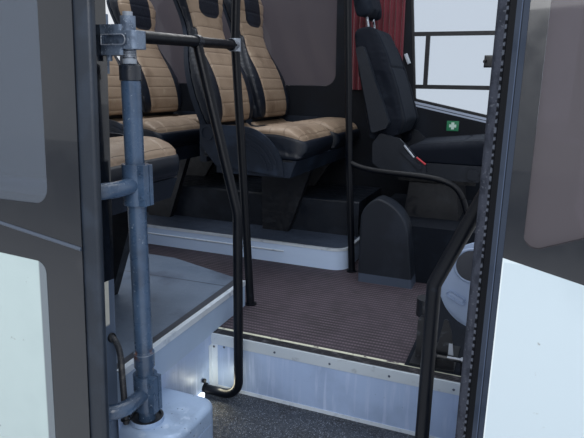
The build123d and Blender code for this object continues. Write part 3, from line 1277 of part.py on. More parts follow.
slide_top = PEDESTAL_Z + SLIDE_HIGH + SEAM
with BuildPart() as driver_base:
    with BuildSketch(across(DRIVER_Y + 8)):
        with BuildLine():
            Polyline((-RECLINE_X - 40, slide_top), (-DRIVER_NOSE_X + 50, slide_top),
                     (-DRIVER_NOSE_X + 24, 531),
                     (-RECLINE_X - 40, 531), close=True)
        make_face()
        fillet(vertices().sort_by(Axis.X)[:2], 16)
    extrude(amount=DRIVER_WIDE - 16)
    for side_y in (DRIVER_Y - HINGE_OUT - COVER_THICK, driver_far_y + HINGE_OUT):
        with BuildSketch(across(side_y)):
            with BuildLine():
                Polyline((-RECLINE_X + 62, 520), (-RECLINE_X - 10, 470), (-RECLINE_X - 200, 470),
                         (-RECLINE_X - 190, 520),
                         (-RECLINE_X - 60, 640), (-RECLINE_X + 30, 660), (-RECLINE_X + 66, 610),
                         close=True)
            make_face()
            fillet(vertices(), 14)
        extrude(amount=COVER_THICK)
    for low_y in (DRIVER_Y - 6, driver_far_y - 8):
        with BuildSketch(across(low_y)):
            add(rectangle_between(-RECLINE_X - 120, -RECLINE_X - 50, slide_top + 8, 520))
        extrude(amount=14)
    with Locations(Location((771, DRIVER_Y + 2, 492), (90, 0, 0))):
        Cylinder(26, 14)
keep(driver_base, "driver_base")
with BuildPart() as driver_cushion:
    with BuildSketch(across(DRIVER_Y)):
        with BuildLine():
            Polyline((-RECLINE_X - 88, 531 + SEAM), (-RECLINE_X - 88, 600),
                     (-DRIVER_NOSE_X + 40, DRIVER_CUSHION_Z),
                     (-DRIVER_NOSE_X, 618), (-DRIVER_NOSE_X, 550), (-DRIVER_NOSE_X + 20, 531 + SEAM),
                     close=True)
        make_face()
        fillet(vertices().group_by(Axis.X)[0], 18)
    extrude(amount=DRIVER_WIDE)
    long_edges = driver_cushion.edges().filter_by(lambda edge: edge.length > 300)
    side_edges = long_edges.filter_by(lambda edge: abs(edge.center().Y - DRIVER_Y - DRIVER_WIDE / 2) > 100)
    fillet(side_edges.filter_by(lambda edge: edge.center().Z > 590), 20)
keep(driver_cushion, "driver_cushion")


def driver_point(along, forward):
    """A place on the driver's back: up its lean from the hinge, and forward of it."""
    return (-RECLINE_X + along * sin(driver_lean) - forward * cos(driver_lean),
            RECLINE_Z + along * cos(driver_lean) + forward * sin(driver_lean))


with BuildPart() as driver_back:
    with BuildSketch(across(DRIVER_Y)):
        with BuildLine():
            Polyline(driver_point(30, -80), driver_point(30, 50), driver_point(90, 78),
                     driver_point(260, 60),
                     driver_point(430, 30), driver_point(DRIVER_BACK_HIGH, -10),
                     driver_point(DRIVER_BACK_HIGH, -100), close=True)
        make_face()
        fillet(vertices().sort_by(Axis.Y)[-2:], 30)
    extrude(amount=DRIVER_WIDE)
    with BuildSketch(Plane.YZ.offset(RECLINE_X - 400)):
        with BuildLine():
            Polyline((DRIVER_Y, RECLINE_Z - 40), (DRIVER_Y, driver_waist_z),
                     (DRIVER_Y + 62, driver_top_z), (driver_far_y - 62, driver_top_z),
                     (driver_far_y, driver_waist_z), (driver_far_y, RECLINE_Z - 40), close=True)
        make_face()
        fillet(vertices().group_by(Axis.Y)[-1], 60)
    extrude(amount=800, mode=Mode.INTERSECT)
    for side_y in (DRIVER_Y - HINGE_OUT + SEAM, driver_far_y + HINGE_OUT - SEAM - 12):
        with BuildSketch(across(side_y)):
            with Locations((-RECLINE_X, RECLINE_Z)):
                Circle(30)
            with BuildLine():
                Polyline(driver_point(-6, -26), driver_point(-6, 26), driver_point(60, 30),
                         driver_point(60, -50), close=True)
            make_face()
        extrude(amount=12)
keep(driver_back, "driver_back")
with BuildPart() as driver_headrest:
    with BuildSketch(across((DRIVER_Y + driver_far_y) / 2 - 130)):
        with BuildLine():
            Polyline(driver_point(DRIVER_BACK_HIGH + 50, -92), driver_point(DRIVER_BACK_HIGH + 50, -20),
                     driver_point(DRIVER_BACK_HIGH + 210, -30),
                     driver_point(DRIVER_BACK_HIGH + 210, -96), close=True)
        make_face()
        fillet(vertices(), 22)
    extrude(amount=260)
    for post_y in (DRIVER_Y + DRIVER_WIDE / 2 - 60, DRIVER_Y + DRIVER_WIDE / 2 + 60):
        low_x, low_z = driver_point(DRIVER_BACK_HIGH + SEAM, -55)
        top_x, top_z = driver_point(DRIVER_BACK_HIGH + 60, -55)
        with BuildSketch(Plane(origin=(-low_x, post_y, low_z),
                               z_dir=(low_x - top_x, 0, top_z - low_z))):
            Circle(6)
        extrude(amount=60)
keep(driver_headrest, "driver_headrest")
ARMREST_X = 352.0
ARMREST_Z = 716.0
ARMREST_THICK = 46.0
armrest_y = DRIVER_Y - SEAM - ARMREST_THICK
with BuildPart() as driver_armrest:
    with BuildSketch(across(armrest_y)):
        with BuildLine():
            Polyline((-210, 1043), (-246, 1052), (-385, 712), (-372, 684), (-306, 660), close=True)
        make_face()
        fillet(vertices(), 13)
    extrude(amount=ARMREST_THICK - 3)
    with Locations(Location((ARMREST_X, DRIVER_Y - SEAM - 2, ARMREST_Z), (90, 0, 0))):
        Cylinder(22, 4)
keep(driver_armrest, "driver_armrest")
stalk_y = DRIVER_Y - HINGE_OUT - COVER_THICK - SEAM - 12
with BuildPart() as belt_stalk:
    with BuildSketch(across(stalk_y)):
        with BuildLine():
            Polyline((-458, 590), (-470, 582), (-540, 520), (-528, 506), (-444, 580), close=True)
        make_face()
    extrude(amount=12)
    with BuildSketch(across(stalk_y - 2)):
        with Locations((-534, 513)):
            Circle(12)
    extrude(amount=14)
keep(belt_stalk, "belt_stalk")

# Curtain at the front of the passenger window, hung on a rod under the cantrail
CURTAIN_REAR_X = 8.0
CURTAIN_FRONT_X = 312.0
CURTAIN_FOOT_Z = 850.0
CURTAIN_FOLDS = 9
CURTAIN_DEEP = 17.0
CURTAIN_THICK = 8.0
ROD_R = 6.0
ROD_Z = 1634.0
ROD_ENDS = (-30.0, 1190.0)
rod_y = far_y(ROD_Z, FAR_WALL + 26)
rod_wall_y = far_y(ROD_Z + 5, FAR_WALL + SEAM)
with BuildPart() as curtain_rod:
    with BuildSketch(Plane.YZ.offset(ROD_ENDS[0])):
        with Locations((rod_y, ROD_Z)):
            Circle(ROD_R)
    extrude(amount=ROD_ENDS[1] - ROD_ENDS[0])
    for bracket_x in (ROD_ENDS[0] + 8, (CURTAIN_FRONT_X + ROD_ENDS[1]) / 2, ROD_ENDS[1] - 18):
        with BuildSketch(Plane.YZ.offset(bracket_x)):
            add(rectangle_between(rod_y, rod_wall_y, ROD_Z - 5, ROD_Z + 5))
        extrude(amount=10)
keep(curtain_rod, "curtain_rod")
fold = (CURTAIN_FRONT_X - CURTAIN_REAR_X) / (2 * CURTAIN_FOLDS)
folds_near = [
    (CURTAIN_REAR_X + step * fold,
     rod_y - CURTAIN_THICK / 2 + (CURTAIN_DEEP / 2 if step % 2 else -CURTAIN_DEEP / 2))
    for step in range(2 * CURTAIN_FOLDS + 1)
]
folds_far = [(x, y + CURTAIN_THICK) for x, y in reversed(folds_near)]
with BuildPart() as curtain:
    with BuildSketch(Plane.XY.offset(CURTAIN_FOOT_Z)):
        with BuildLine():
            Polyline(*folds_near, *folds_far, close=True)
        make_face()
    extrude(amount=ROD_Z - ROD_R - SEAM - CURTAIN_FOOT_Z)
keep(curtain, "curtain")

# Guard hose for the door's wiring, from the rear jamb down into the bearing box
HOSE_R = 9.0
HOSE_BEND = 26.0
hose_path = (
    (JAMB_REAR_X + SEAM + 3.4, -531, 215),
    (34, -531, 204),
    (34, -528, 90),
    (25, -512.5, BOX_TOP_Z - 10),
)
with BuildPart() as wiring_hose:
    add(bent_bar(hose_path, HOSE_BEND, HOSE_R))
    split(bisect_by=Plane.XY.offset(BOX_TOP_Z + SEAM), keep=Keep.TOP)
keep(wiring_hose, "wiring_hose")
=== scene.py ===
# %% [markdown]
# # The entrance of a minibus
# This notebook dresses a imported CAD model: the section of a minibus round its open passenger
# door, with the door leaf on its turning column, the step, the grab rails and the seats behind.
# The CAD solids stay where they are. Each gets a finish here, and what is soft, ribbed or
# stitched is modelled anew round them.

# %% Load the frame
import math

import bmesh
import bpy
from mathutils import Matrix, Vector


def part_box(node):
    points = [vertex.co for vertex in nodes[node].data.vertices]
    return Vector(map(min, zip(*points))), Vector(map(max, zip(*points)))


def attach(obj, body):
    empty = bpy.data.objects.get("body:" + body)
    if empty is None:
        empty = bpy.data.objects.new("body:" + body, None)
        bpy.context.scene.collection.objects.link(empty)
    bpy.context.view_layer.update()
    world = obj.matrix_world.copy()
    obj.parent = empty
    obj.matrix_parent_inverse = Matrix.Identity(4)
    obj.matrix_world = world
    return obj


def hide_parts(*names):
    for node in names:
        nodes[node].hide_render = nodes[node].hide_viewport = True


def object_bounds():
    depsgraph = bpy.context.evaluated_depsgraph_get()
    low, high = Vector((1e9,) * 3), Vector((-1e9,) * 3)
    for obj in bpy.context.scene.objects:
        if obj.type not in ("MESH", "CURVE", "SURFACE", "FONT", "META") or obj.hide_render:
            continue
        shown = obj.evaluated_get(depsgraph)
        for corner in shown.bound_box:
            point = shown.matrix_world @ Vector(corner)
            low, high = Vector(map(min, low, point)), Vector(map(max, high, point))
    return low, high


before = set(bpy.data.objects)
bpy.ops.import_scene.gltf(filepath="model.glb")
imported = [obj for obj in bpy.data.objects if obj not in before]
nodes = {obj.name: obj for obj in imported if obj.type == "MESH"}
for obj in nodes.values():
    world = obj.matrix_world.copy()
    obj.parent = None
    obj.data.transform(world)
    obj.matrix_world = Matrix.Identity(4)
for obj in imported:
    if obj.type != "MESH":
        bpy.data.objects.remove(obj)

cad_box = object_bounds()
print("The CAD box is", [list(corner) for corner in cad_box])

# %% [markdown]
# ## Places on the bus
# The section's own places are easiest to read from the landing: millimetres forward from the
# door's rear edge, across from the outer skin line, and up from the landing floor. One helper
# turns such a place into metres in the frame.

# %% From bus places to frame places
LANDING_ORIGIN = Vector((0.0, -0.530, 0.260))


def spot(x, y, z):
    """A place on the bus, in millimetres from the landing's corner, as a point of the frame."""
    return Vector((x, y, z)) * 0.001 + LANDING_ORIGIN


# %% [markdown]
# ## The camera
# The camera stands outside the door at a tall person's eye height and looks slightly down and
# to the left. A camera object is turned by the three directions of its own axes.

# %% Set up the camera
EYE = Vector((0.9734, -2.170, 1.142))
TO_THE_RIGHT = Vector((0.9245, 0.3808, 0.0165)).normalized()
BACKWARDS = Vector((0.3667, -0.9004, 0.2338)).normalized()
FOCAL_LENGTH = 34.89

camera_data = bpy.data.cameras.new("camera")
camera_data.lens = FOCAL_LENGTH
camera_data.sensor_width = 36.0
camera_data.clip_start = 0.02
camera = bpy.data.objects.new("camera", camera_data)
upwards = BACKWARDS.cross(TO_THE_RIGHT)
turn = Matrix((TO_THE_RIGHT, upwards, BACKWARDS)).transposed()
camera.matrix_world = Matrix.Translation(EYE) @ turn.to_4x4()
bpy.context.scene.collection.objects.link(camera)
bpy.context.scene.camera = camera
bpy.context.scene.view_settings.view_transform = "Standard"

# %% [markdown]
# ## Finishes
# Every finish starts as a Principled shader. A small class keeps the way they are built short:
# it adds nodes, mixes colours over each other, and stacks bumps. All patterns read Object
# coordinates, which are metres here, so a scale of 200 is a grain of about 5 mm.


# %% The class that builds a finish
def tone(red, green, blue):
    """A colour given as the eye sees it, 0 to 255 a channel, for a shader that works in light."""
    parts = (channel / 255 for channel in (red, green, blue))
    light = [part / 12.92 if part < 0.04 else ((part + 0.055) / 1.055) ** 2.4 for part in parts]
    return (*light, 1.0)


class Finish:
    """One procedural material: a Principled shader whose colour, roughness and bump are layered."""

    def __init__(self, name, colour, roughness, **sockets):
        self.material = bpy.data.materials.new(name)
        self.material.use_nodes = True
        self.tree = self.material.node_tree
        self.shader = self.tree.nodes["Principled BSDF"]
        self.set(self.shader, "Roughness", roughness)
        for socket, value in sockets.items():
            self.set(self.shader, socket.replace("_", " ").title().replace("Ior", "IOR"), value)
        self.place = self.add("ShaderNodeTexCoord").outputs["Object"]
        self.colour = None
        self.normal = None
        self.paint(colour)

    def add(self, kind, **settings):
        made = self.tree.nodes.new(kind)
        for setting, value in settings.items():
            setattr(made, setting, value)
        return made

    def set(self, made, socket, value):
        if isinstance(value, bpy.types.NodeSocket):
            self.tree.links.new(value, made.inputs[socket])
        else:
            made.inputs[socket].default_value = value

    def paint(self, colour, mask=None):
        """Lays a colour over the finish, everywhere or where the mask is 1."""
        if mask is None:
            self.colour = colour
            self.set(self.shader, "Base Color", colour)
            return self
        mix = self.add("ShaderNodeMix", data_type="RGBA")
        self.tree.links.new(mask, mix.inputs[0])
        for slot, value in ((6, self.colour), (7, colour)):
            if isinstance(value, bpy.types.NodeSocket):
                self.tree.links.new(value, mix.inputs[slot])
            else:
                mix.inputs[slot].default_value = value
        self.colour = mix.outputs[2]
        self.set(self.shader, "Base Color", self.colour)
        return self

    def stretched(self, scale, turn=(0, 0, 0)):
        """The place on the piece, stretched and turned, for a pattern with a grain."""
        mapping = self.add("ShaderNodeMapping")
        mapping.inputs["Scale"].default_value = scale
        mapping.inputs["Rotation"].default_value = turn
        self.set(mapping, "Vector", self.place)
        return mapping.outputs["Vector"]

    def noise(self, scale, detail=3.0, place=None):
        made = self.add("ShaderNodeTexNoise")
        self.set(made, "Vector", place or self.place)
        self.set(made, "Scale", scale)
        self.set(made, "Detail", detail)
        return made.outputs["Fac"]

    def cells(self, scale, place=None, feature="F1"):
        made = self.add("ShaderNodeTexVoronoi", feature=feature)
        self.set(made, "Vector", place or self.place)
        self.set(made, "Scale", scale)
        return made.outputs["Distance"]

    def waves(self, scale, direction="X", place=None, profile="SIN"):
        made = self.add("ShaderNodeTexWave", bands_direction=direction, wave_profile=profile)
        self.set(made, "Vector", place or self.place)
        self.set(made, "Scale", scale)
        return made.outputs["Fac"]

    def between(self, value, low, high, to_low=0.0, to_high=1.0):
        """Spreads a value from one range to another, and holds it at the ends."""
        made = self.add("ShaderNodeMapRange", interpolation_type="SMOOTHSTEP")
        self.set(made, "Value", value)
        for socket, number in (("From Min", low), ("From Max", high), ("To Min", to_low),
                               ("To Max", to_high)):
            made.inputs[socket].default_value = number
        return made.outputs["Result"]

    def maths(self, operation, first, second=0.0):
        made = self.add("ShaderNodeMath", operation=operation)
        self.set(made, 0, first)
        self.set(made, 1, second)
        return made.outputs[0]

    def axis(self, letter):
        """One coordinate of the place on the piece, in metres."""
        split = self.add("ShaderNodeSeparateXYZ")
        self.set(split, "Vector", self.place)
        return split.outputs[letter]

    def band(self, value, low, high, soft=0.0004):
        """1 where a value lies between two limits."""
        over = self.between(value, low - soft, low + soft)
        return self.both(over, self.fades(value, high - soft, high + soft))

    def flattened(self, scale):
        """The place with some of its axes scaled, as by 0 to measure in plan."""
        made = self.add("ShaderNodeVectorMath", operation="MULTIPLY")
        self.set(made, 0, self.place)
        made.inputs[1].default_value = scale
        return made.outputs["Vector"]

    def fades(self, value, low, high):
        """1 below a range and 0 above it."""
        return self.between(value, low, high, 1.0, 0.0)

    def both(self, first, second):
        """Two masks, or a mask and a share, multiplied."""
        return self.maths("MULTIPLY", first, second)

    def patches(self, scale, low, high, detail=3.0):
        """Cloudy patches: 1 where the noise is high."""
        return self.between(self.noise(scale, detail), low, high)

    def from_mid_row(self, value, pitch):
        """How far a value lies from the middle of its row, 0 to 0.5, for rows at a pitch."""
        turn = self.maths("FRACT", self.maths("DIVIDE", value, pitch))
        return self.maths("ABSOLUTE", self.maths("SUBTRACT", turn, 0.5))

    def rough(self, value, low, high):
        self.set(self.shader, "Roughness", self.between(value, 0.3, 0.7, low, high))
        return self

    def bump(self, height, distance, strength=1.0):
        """Stacks a bump, with its depth in metres, on those before it."""
        made = self.add("ShaderNodeBump")
        made.inputs["Strength"].default_value = strength
        made.inputs["Distance"].default_value = distance
        self.set(made, "Height", height)
        if self.normal is not None:
            self.set(made, "Normal", self.normal)
        self.normal = made.outputs["Normal"]
        self.set(self.shader, "Normal", self.normal)
        return self

    def on_map(self, layer):
        """The two coordinates of a piece's own map."""
        read = self.add("ShaderNodeUVMap", uv_map=layer)
        split = self.add("ShaderNodeSeparateXYZ")
        self.set(split, "Vector", read.outputs["UV"])
        return split.outputs["X"], split.outputs["Y"]

    def wear(self, *names):
        """Gives this finish to CAD nodes."""
        for name in names:
            slots = nodes[name].data.materials
            slots.clear()
            slots.append(self.material)
        return self


# %% [markdown]
# ## Paint and metal
# The door's column and arms are slate-blue enamel, with a black bush and a plated nut on top and
# rust round the lower collar. The castings are bare aluminium with a sandy skin. The rails are
# thick gloss powder coat, which shows a fine orange peel in its reflections.

# %% Column paint, castings, rails and chassis
column_paint = Finish("column_enamel", tone(66, 88, 116), 0.3, coat_weight=0.25)
column_paint.paint(tone(52, 70, 94), column_paint.patches(9, 0.42, 0.66))
column_paint.paint(tone(128, 142, 158), column_paint.patches(150, 0.66, 0.72, 6))
height = column_paint.axis("Z")
rust = column_paint.both(column_paint.band(height, 0.404, 0.430, 0.006),
                         column_paint.patches(26, 0.52, 0.60, 5))
column_paint.paint(tone(92, 66, 60), rust)
# A thin lighter ring on the lower collar is a painted highlight on its rim.
column_paint.paint(tone(118, 130, 148), column_paint.band(height, 0.4165, 0.4185))
column_paint.paint(tone(30, 36, 46), column_paint.band(height, 1.1402, 1.1801))
column_paint.paint(tone(150, 160, 174), column_paint.between(height, 1.1801, 1.1805))
column_paint.rough(column_paint.noise(30), 0.22, 0.4)
column_paint.bump(column_paint.noise(420, 2), 0.0004)
column_paint.wear("door_column", "door_arms", "leaf_brackets")

# The pocket's bead lies 3.5 mm behind this plane. The casting's own face is at -1.0310, so the
# bead stands in front of it, a fault that is left.
POCKET_PLANE = -1.0405
POCKET_MIDDLE = 1.235
POCKET_REAR = 0.012
POCKET_TURN = 0.070
POCKET_R = 0.0115

bare_casting = Finish("bare_casting", tone(118, 134, 156), 0.5, metallic=0.35)
bare_casting.paint(tone(80, 94, 114), bare_casting.patches(26, 0.48, 0.66, 5))
bare_casting.paint(tone(176, 188, 204), bare_casting.patches(240, 0.62, 0.7, 4))
pocket_low, pocket_high = POCKET_MIDDLE - POCKET_R, POCKET_MIDDLE + POCKET_R
pocket_front = POCKET_TURN + POCKET_R + 0.001
in_height = bare_casting.band(bare_casting.axis("Z"), pocket_low, pocket_high)
in_length = bare_casting.band(bare_casting.axis("X"), POCKET_REAR - 0.001, pocket_front)
in_depth = bare_casting.band(bare_casting.axis("Y"), POCKET_PLANE + 0.0015, POCKET_PLANE + 0.0095)
pocket_shade_mask = bare_casting.both(bare_casting.both(in_height, in_length), in_depth)
# The pocket is painted shade: a dark stadium on the casting's face, where a recess would lie in shade.
bare_casting.paint(tone(34, 44, 58), pocket_shade_mask)
bare_casting.rough(bare_casting.noise(80), 0.36, 0.6)
bare_casting.bump(bare_casting.noise(420, 4), 0.001)
bare_casting.wear("top_bearing", "bearing_plates")

rail_coat = Finish("rail_powder_coat", tone(8, 12, 20), 0.3, specular_ior_level=0.22)
rail_coat.paint(tone(20, 26, 36), rail_coat.patches(34, 0.66, 0.74, 6))
rail_coat.rough(rail_coat.noise(22), 0.34, 0.46)
rail_coat.bump(rail_coat.noise(160, 1), 0.0003)
rail_coat.wear("rear_stanchion", "cross_rail", "front_rail", "entry_rail", "driver_stanchion", "guard_hoop")

clamp_coat = Finish("clamp_coat", tone(26, 31, 40), 0.34, metallic=0.3)
clamp_coat.paint(tone(112, 120, 132), clamp_coat.patches(70, 0.6, 0.7, 5))
clamp_coat.paint(tone(150, 158, 170), clamp_coat.between(clamp_coat.axis("Y"), -0.272, -0.270))
clamp_coat.wear("rail_clamps")

frame_coat = Finish("frame_coat", tone(14, 18, 26), 0.45)
frame_coat.paint(tone(30, 34, 42), frame_coat.patches(14, 0.55, 0.75, 6))
frame_coat.rough(frame_coat.noise(40), 0.36, 0.6)
frame_coat.bump(frame_coat.noise(300, 3), 0.0004)
frame_coat.wear("roof_frame", "driver_window_frame", "seat_frames", "driver_pedestal", "curtain_rod")

gear_coat = Finish("gear_coat", tone(15, 19, 27), 0.4)
gear_coat.paint(tone(54, 58, 66), gear_coat.patches(46, 0.56, 0.7, 6))
gear_coat.paint(tone(168, 176, 190),
                gear_coat.both(gear_coat.band(gear_coat.axis("Z"), 0.306, 0.346, 0.001),
                               gear_coat.between(gear_coat.axis("X"), 0.815, 0.817)))
gear_coat.wear("door_gear")

chassis_paint = Finish("chassis_paint", tone(36, 38, 42), 0.55)
chassis_paint.paint(tone(74, 68, 62), chassis_paint.patches(7, 0.52, 0.75, 6))
chassis_paint.bump(chassis_paint.noise(180, 4), 0.0008)
chassis_paint.wear("underframe", "floor_deck")

# %% [markdown]
# ## Floors and steps
# The step well is dull aluminium sheet that looks slightly blue, with white rolled edges. The
# tread is anti-slip flooring with pale grit. The landing's mat has pale dotted rows that run
# along the bus, and at its edge a worn line, a dark grip strip and a bright nosing.

# %% Step sheet, trims and tread
step_sheet = Finish("step_sheet", tone(158, 180, 216), 0.45, metallic=0.15)
step_sheet.paint(tone(142, 162, 196), step_sheet.patches(5, 0.45, 0.7, 5))
step_sheet.paint(tone(172, 190, 222),
                 step_sheet.between(step_sheet.noise(6, 4, step_sheet.stretched((14, 14, 1))), 0.5, 0.75))
step_sheet.paint(tone(112, 126, 152), step_sheet.patches(200, 0.68, 0.74, 3))
step_sheet.rough(step_sheet.noise(18, 5), 0.36, 0.56)
step_sheet.wear("step_well")

bright_trim = Finish("bright_trim", tone(208, 220, 234), 0.36, metallic=0.25)
bright_trim.paint(tone(172, 186, 204), bright_trim.patches(24, 0.56, 0.74, 6))
bright_trim.rough(bright_trim.noise(60), 0.28, 0.5)
bright_trim.wear("floor_trims")

nosing = Finish("grip_nosing", tone(190, 202, 214), 0.36, metallic=0.3)
nosing.paint(tone(150, 160, 172), nosing.patches(24, 0.56, 0.74, 6))
from_edge = nosing.maths("ADD", nosing.axis("Y"), 0.530)
nosing.paint(tone(40, 42, 50), nosing.band(from_edge, 0.006, 0.045))
nosing.paint(tone(84, 84, 92),
             nosing.both(nosing.band(from_edge, 0.006, 0.045), nosing.patches(38, 0.5, 0.7, 6)))
nosing.paint(tone(206, 208, 190), nosing.between(from_edge, 0.0446, 0.0456))
nosing.bump(nosing.both(nosing.band(from_edge, 0.006, 0.045), nosing.waves(120, "Y")), 0.0015)
nosing.wear("landing_nosing")

tread = Finish("speckled_tread", tone(34, 41, 52), 0.62)
tread.paint(tone(18, 22, 30), tread.patches(12, 0.45, 0.7, 4))
tread.paint(tone(120, 128, 142),
            tread.both(tread.between(tread.cells(165), 0.34, 0.2),
                       tread.between(tread.noise(70, 4), 0.36, 0.62, 0.3, 1.0)))
tread.paint(tone(70, 80, 96), tread.between(tread.cells(320), 0.3, 0.16))
tread.rough(tread.noise(90), 0.42, 0.8)
tread.bump(tread.cells(240), 0.0012)
tread.wear("step_tread")

# %% Mat and floor coverings
MAT_ROW = 0.0225
MAT_DOT = 0.011

mat_rubber = Finish("ribbed_mat", tone(43, 37, 47), 0.75)
mat_rubber.paint(tone(30, 26, 34), mat_rubber.patches(5, 0.42, 0.68, 5))
across = mat_rubber.maths("ADD", mat_rubber.axis("Y"), 0.530)
row = mat_rubber.from_mid_row(across, MAT_ROW)
dot = mat_rubber.from_mid_row(mat_rubber.axis("X"), MAT_DOT)
raised = mat_rubber.both(mat_rubber.fades(row, 0.14, 0.30), mat_rubber.between(dot, 0.12, 0.40, 1.0, 0.35))
mat_rubber.paint(tone(94, 83, 95),
                 mat_rubber.both(raised, mat_rubber.between(mat_rubber.noise(21, 5), 0.2, 0.65, 0.3, 1.0)))
mat_rubber.paint(tone(206, 208, 190),
                 mat_rubber.both(mat_rubber.fades(across, 0.0575, 0.0585),
                                 mat_rubber.patches(30, 0.34, 0.42, 5)))
mat_rubber.bump(raised, 0.0015)
mat_rubber.wear("floor_mat")

TOP_OF_PLATFORM = 0.3645


def floor_covering(name, top, front):
    """Scuffed covering on top, and painted sheet on the fronts below a height."""
    covering = Finish(name, top, 0.58)
    covering.paint(tone(66, 78, 98), covering.patches(5, 0.5, 0.72, 6))
    covering.paint(tone(120, 132, 150), covering.patches(210, 0.64, 0.74, 4))
    covering.paint(front, covering.fades(covering.axis("Z"), TOP_OF_PLATFORM - 0.0004, TOP_OF_PLATFORM))
    covering.rough(covering.noise(11, 5), 0.46, 0.68)
    covering.bump(covering.noise(420, 2), 0.0004)
    return covering


platform = floor_covering("platform_covering", tone(90, 105, 126), tone(152, 174, 204))
on_top = platform.between(platform.axis("Z"), TOP_OF_PLATFORM - 0.0004, TOP_OF_PLATFORM)
from_trim = platform.maths("ADD", platform.axis("X"), platform.both(platform.axis("Y"), 0.0435))
platform.paint(tone(44, 50, 62), platform.both(on_top, platform.between(from_trim, -0.0700, -0.0690)))
from_seam = platform.maths("SUBTRACT", platform.axis("Y"), platform.both(platform.axis("X"), 0.035))
platform.paint(tone(34, 42, 58), platform.both(on_top, platform.band(from_seam, -0.3305, -0.3255)))
platform.wear("side_platform")
floor_covering("podium_covering", tone(56, 68, 88), tone(186, 208, 240)).wear("podium")

dark_carpet = Finish("dark_carpet", tone(10, 17, 28), 0.85, specular_ior_level=0.2)
dark_carpet.paint(tone(20, 28, 40), dark_carpet.patches(14, 0.5, 0.72, 6))
dark_carpet.bump(dark_carpet.noise(500, 3), 0.001)
dark_carpet.wear("cab_podium", "gear_sheet")

box_paint = Finish("box_silver", tone(150, 172, 202), 0.46, metallic=0.15)
box_paint.paint(tone(126, 145, 172), box_paint.patches(8, 0.46, 0.68, 6))
box_paint.paint(tone(172, 190, 214), box_paint.patches(30, 0.58, 0.74, 6))
box_paint.paint(tone(84, 96, 116),
                box_paint.both(box_paint.between(box_paint.cells(58), 0.17, 0.11),
                               box_paint.patches(15, 0.46, 0.56, 3)))
offset = box_paint.add("ShaderNodeVectorMath", operation="DISTANCE")
box_paint.set(offset, 0, box_paint.flattened((1.0, 1.0, 0.0)))
offset.inputs[1].default_value = (0.068, -1.005, 0.0)
box_paint.paint(tone(28, 33, 41), box_paint.fades(offset.outputs["Value"], 0.0455, 0.0465))
box_paint.rough(box_paint.noise(26, 4), 0.36, 0.62)
box_paint.bump(box_paint.noise(240, 4), 0.0006)
box_paint.wear("bearing_box")

# %% [markdown]
# ## Body, trim boards and glass
# The outside is white gloss paint with a gloss black band round the windows. Inside, the wall is
# dark trim board, with a pale strip under the driver's window. One node is painted on its outside
# only, so its finish asks how deep a place lies behind the leaning skin.

# %% Body paint, black band, boards and mouldings
SIDE_LEAN = 0.041
WHITE_UP_TO = 0.631


def behind_skin(finish, skin_y, inwards=1):
    """How far a place lies inwards from a leaning skin, whose foot is given on the bus in metres."""
    lean = finish.both(finish.maths("SUBTRACT", finish.axis("Z"), 0.260), SIDE_LEAN * inwards)
    from_skin = finish.maths("SUBTRACT", finish.maths("SUBTRACT", finish.axis("Y"), skin_y - 0.530), lean)
    return finish.both(from_skin, inwards)


white_paint = Finish("white_body_paint", tone(192, 208, 218), 0.22, coat_weight=0.5)
white_paint.paint(tone(182, 198, 208), white_paint.patches(3, 0.45, 0.7, 4))
white_paint.paint(tone(140, 144, 146), white_paint.patches(44, 0.7, 0.8, 8))
white_paint.paint(tone(50, 60, 74), white_paint.between(behind_skin(white_paint, -0.579), 0.004, 0.005))
# A lighter stripe down the panel's front edge by the door post is a painted highlight.
white_paint.paint(tone(214, 226, 232), white_paint.band(white_paint.axis("X"), 0.9550, 0.9600))
PANEL_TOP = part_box("kerb_lower_panels")[1][2]
# Along the panel's top edge the outer face is painted lighter: a painted highlight.
top_edge_highlight = white_paint.between(white_paint.axis("Z"), PANEL_TOP - 0.010, PANEL_TOP - 0.007)
outer_face = white_paint.fades(behind_skin(white_paint, -0.579), 0.004, 0.005)
white_paint.paint(tone(210, 224, 231), white_paint.both(top_edge_highlight, outer_face))
at_rear_jamb = white_paint.band(white_paint.axis("X"), -0.002, 0.014)
white_paint.paint(tone(92, 106, 128),
                  white_paint.both(at_rear_jamb,
                                   white_paint.between(behind_skin(white_paint, -0.579), 0.004, 0.005)))
bare_patch = white_paint.both(white_paint.band(behind_skin(white_paint, -0.579), 0.012, 0.038, 0.001),
                              white_paint.band(white_paint.axis("Z"), 0.512, 0.660, 0.004))
white_paint.paint(tone(214, 214, 206), white_paint.both(at_rear_jamb, bare_patch))
white_paint.wear("kerb_lower_panels")

leaf_paint = Finish("leaf_paint", tone(190, 208, 209), 0.24, coat_weight=0.5)
leaf_paint.paint(tone(178, 196, 198), leaf_paint.patches(3, 0.45, 0.7, 4))
leaf_paint.paint(tone(128, 132, 132), leaf_paint.patches(40, 0.68, 0.8, 8))
# A grey band at the panel's edge by its dark surround is painted shade on the lip.
leaf_paint.paint(tone(112, 122, 130), leaf_paint.between(leaf_paint.axis("X"), -0.046, -0.040))
leaf_paint.wear("leaf_panel")

black_band = Finish("gloss_black_band", tone(15, 20, 29), 0.12, coat_weight=0.7)
black_band.paint(tone(40, 42, 48), black_band.patches(9, 0.6, 0.85, 7))
black_band.rough(black_band.noise(20, 5), 0.1, 0.26)
black_band.wear("kerb_window_panels", "leaf_frame")

post_paint = Finish("post_paint", tone(50, 58, 72), 0.6, specular_ior_level=0.12)
post_paint.paint(tone(38, 47, 62), post_paint.patches(12, 0.48, 0.7, 5))
# The post's face towards the seal is painted near black as the shade in the gap between them.
post_paint.paint(tone(6, 9, 15), post_paint.fades(post_paint.axis("X"), 0.9352, 0.9360))
post_paint.paint(tone(70, 82, 104), post_paint.band(post_paint.axis("X"), 0.9440, 0.9456))
post_paint.paint(tone(20, 26, 36), post_paint.band(post_paint.axis("X"), 0.9456, 0.9474))
post_paint.wear("front_door_post")

SEAL_TOOTH = 0.015

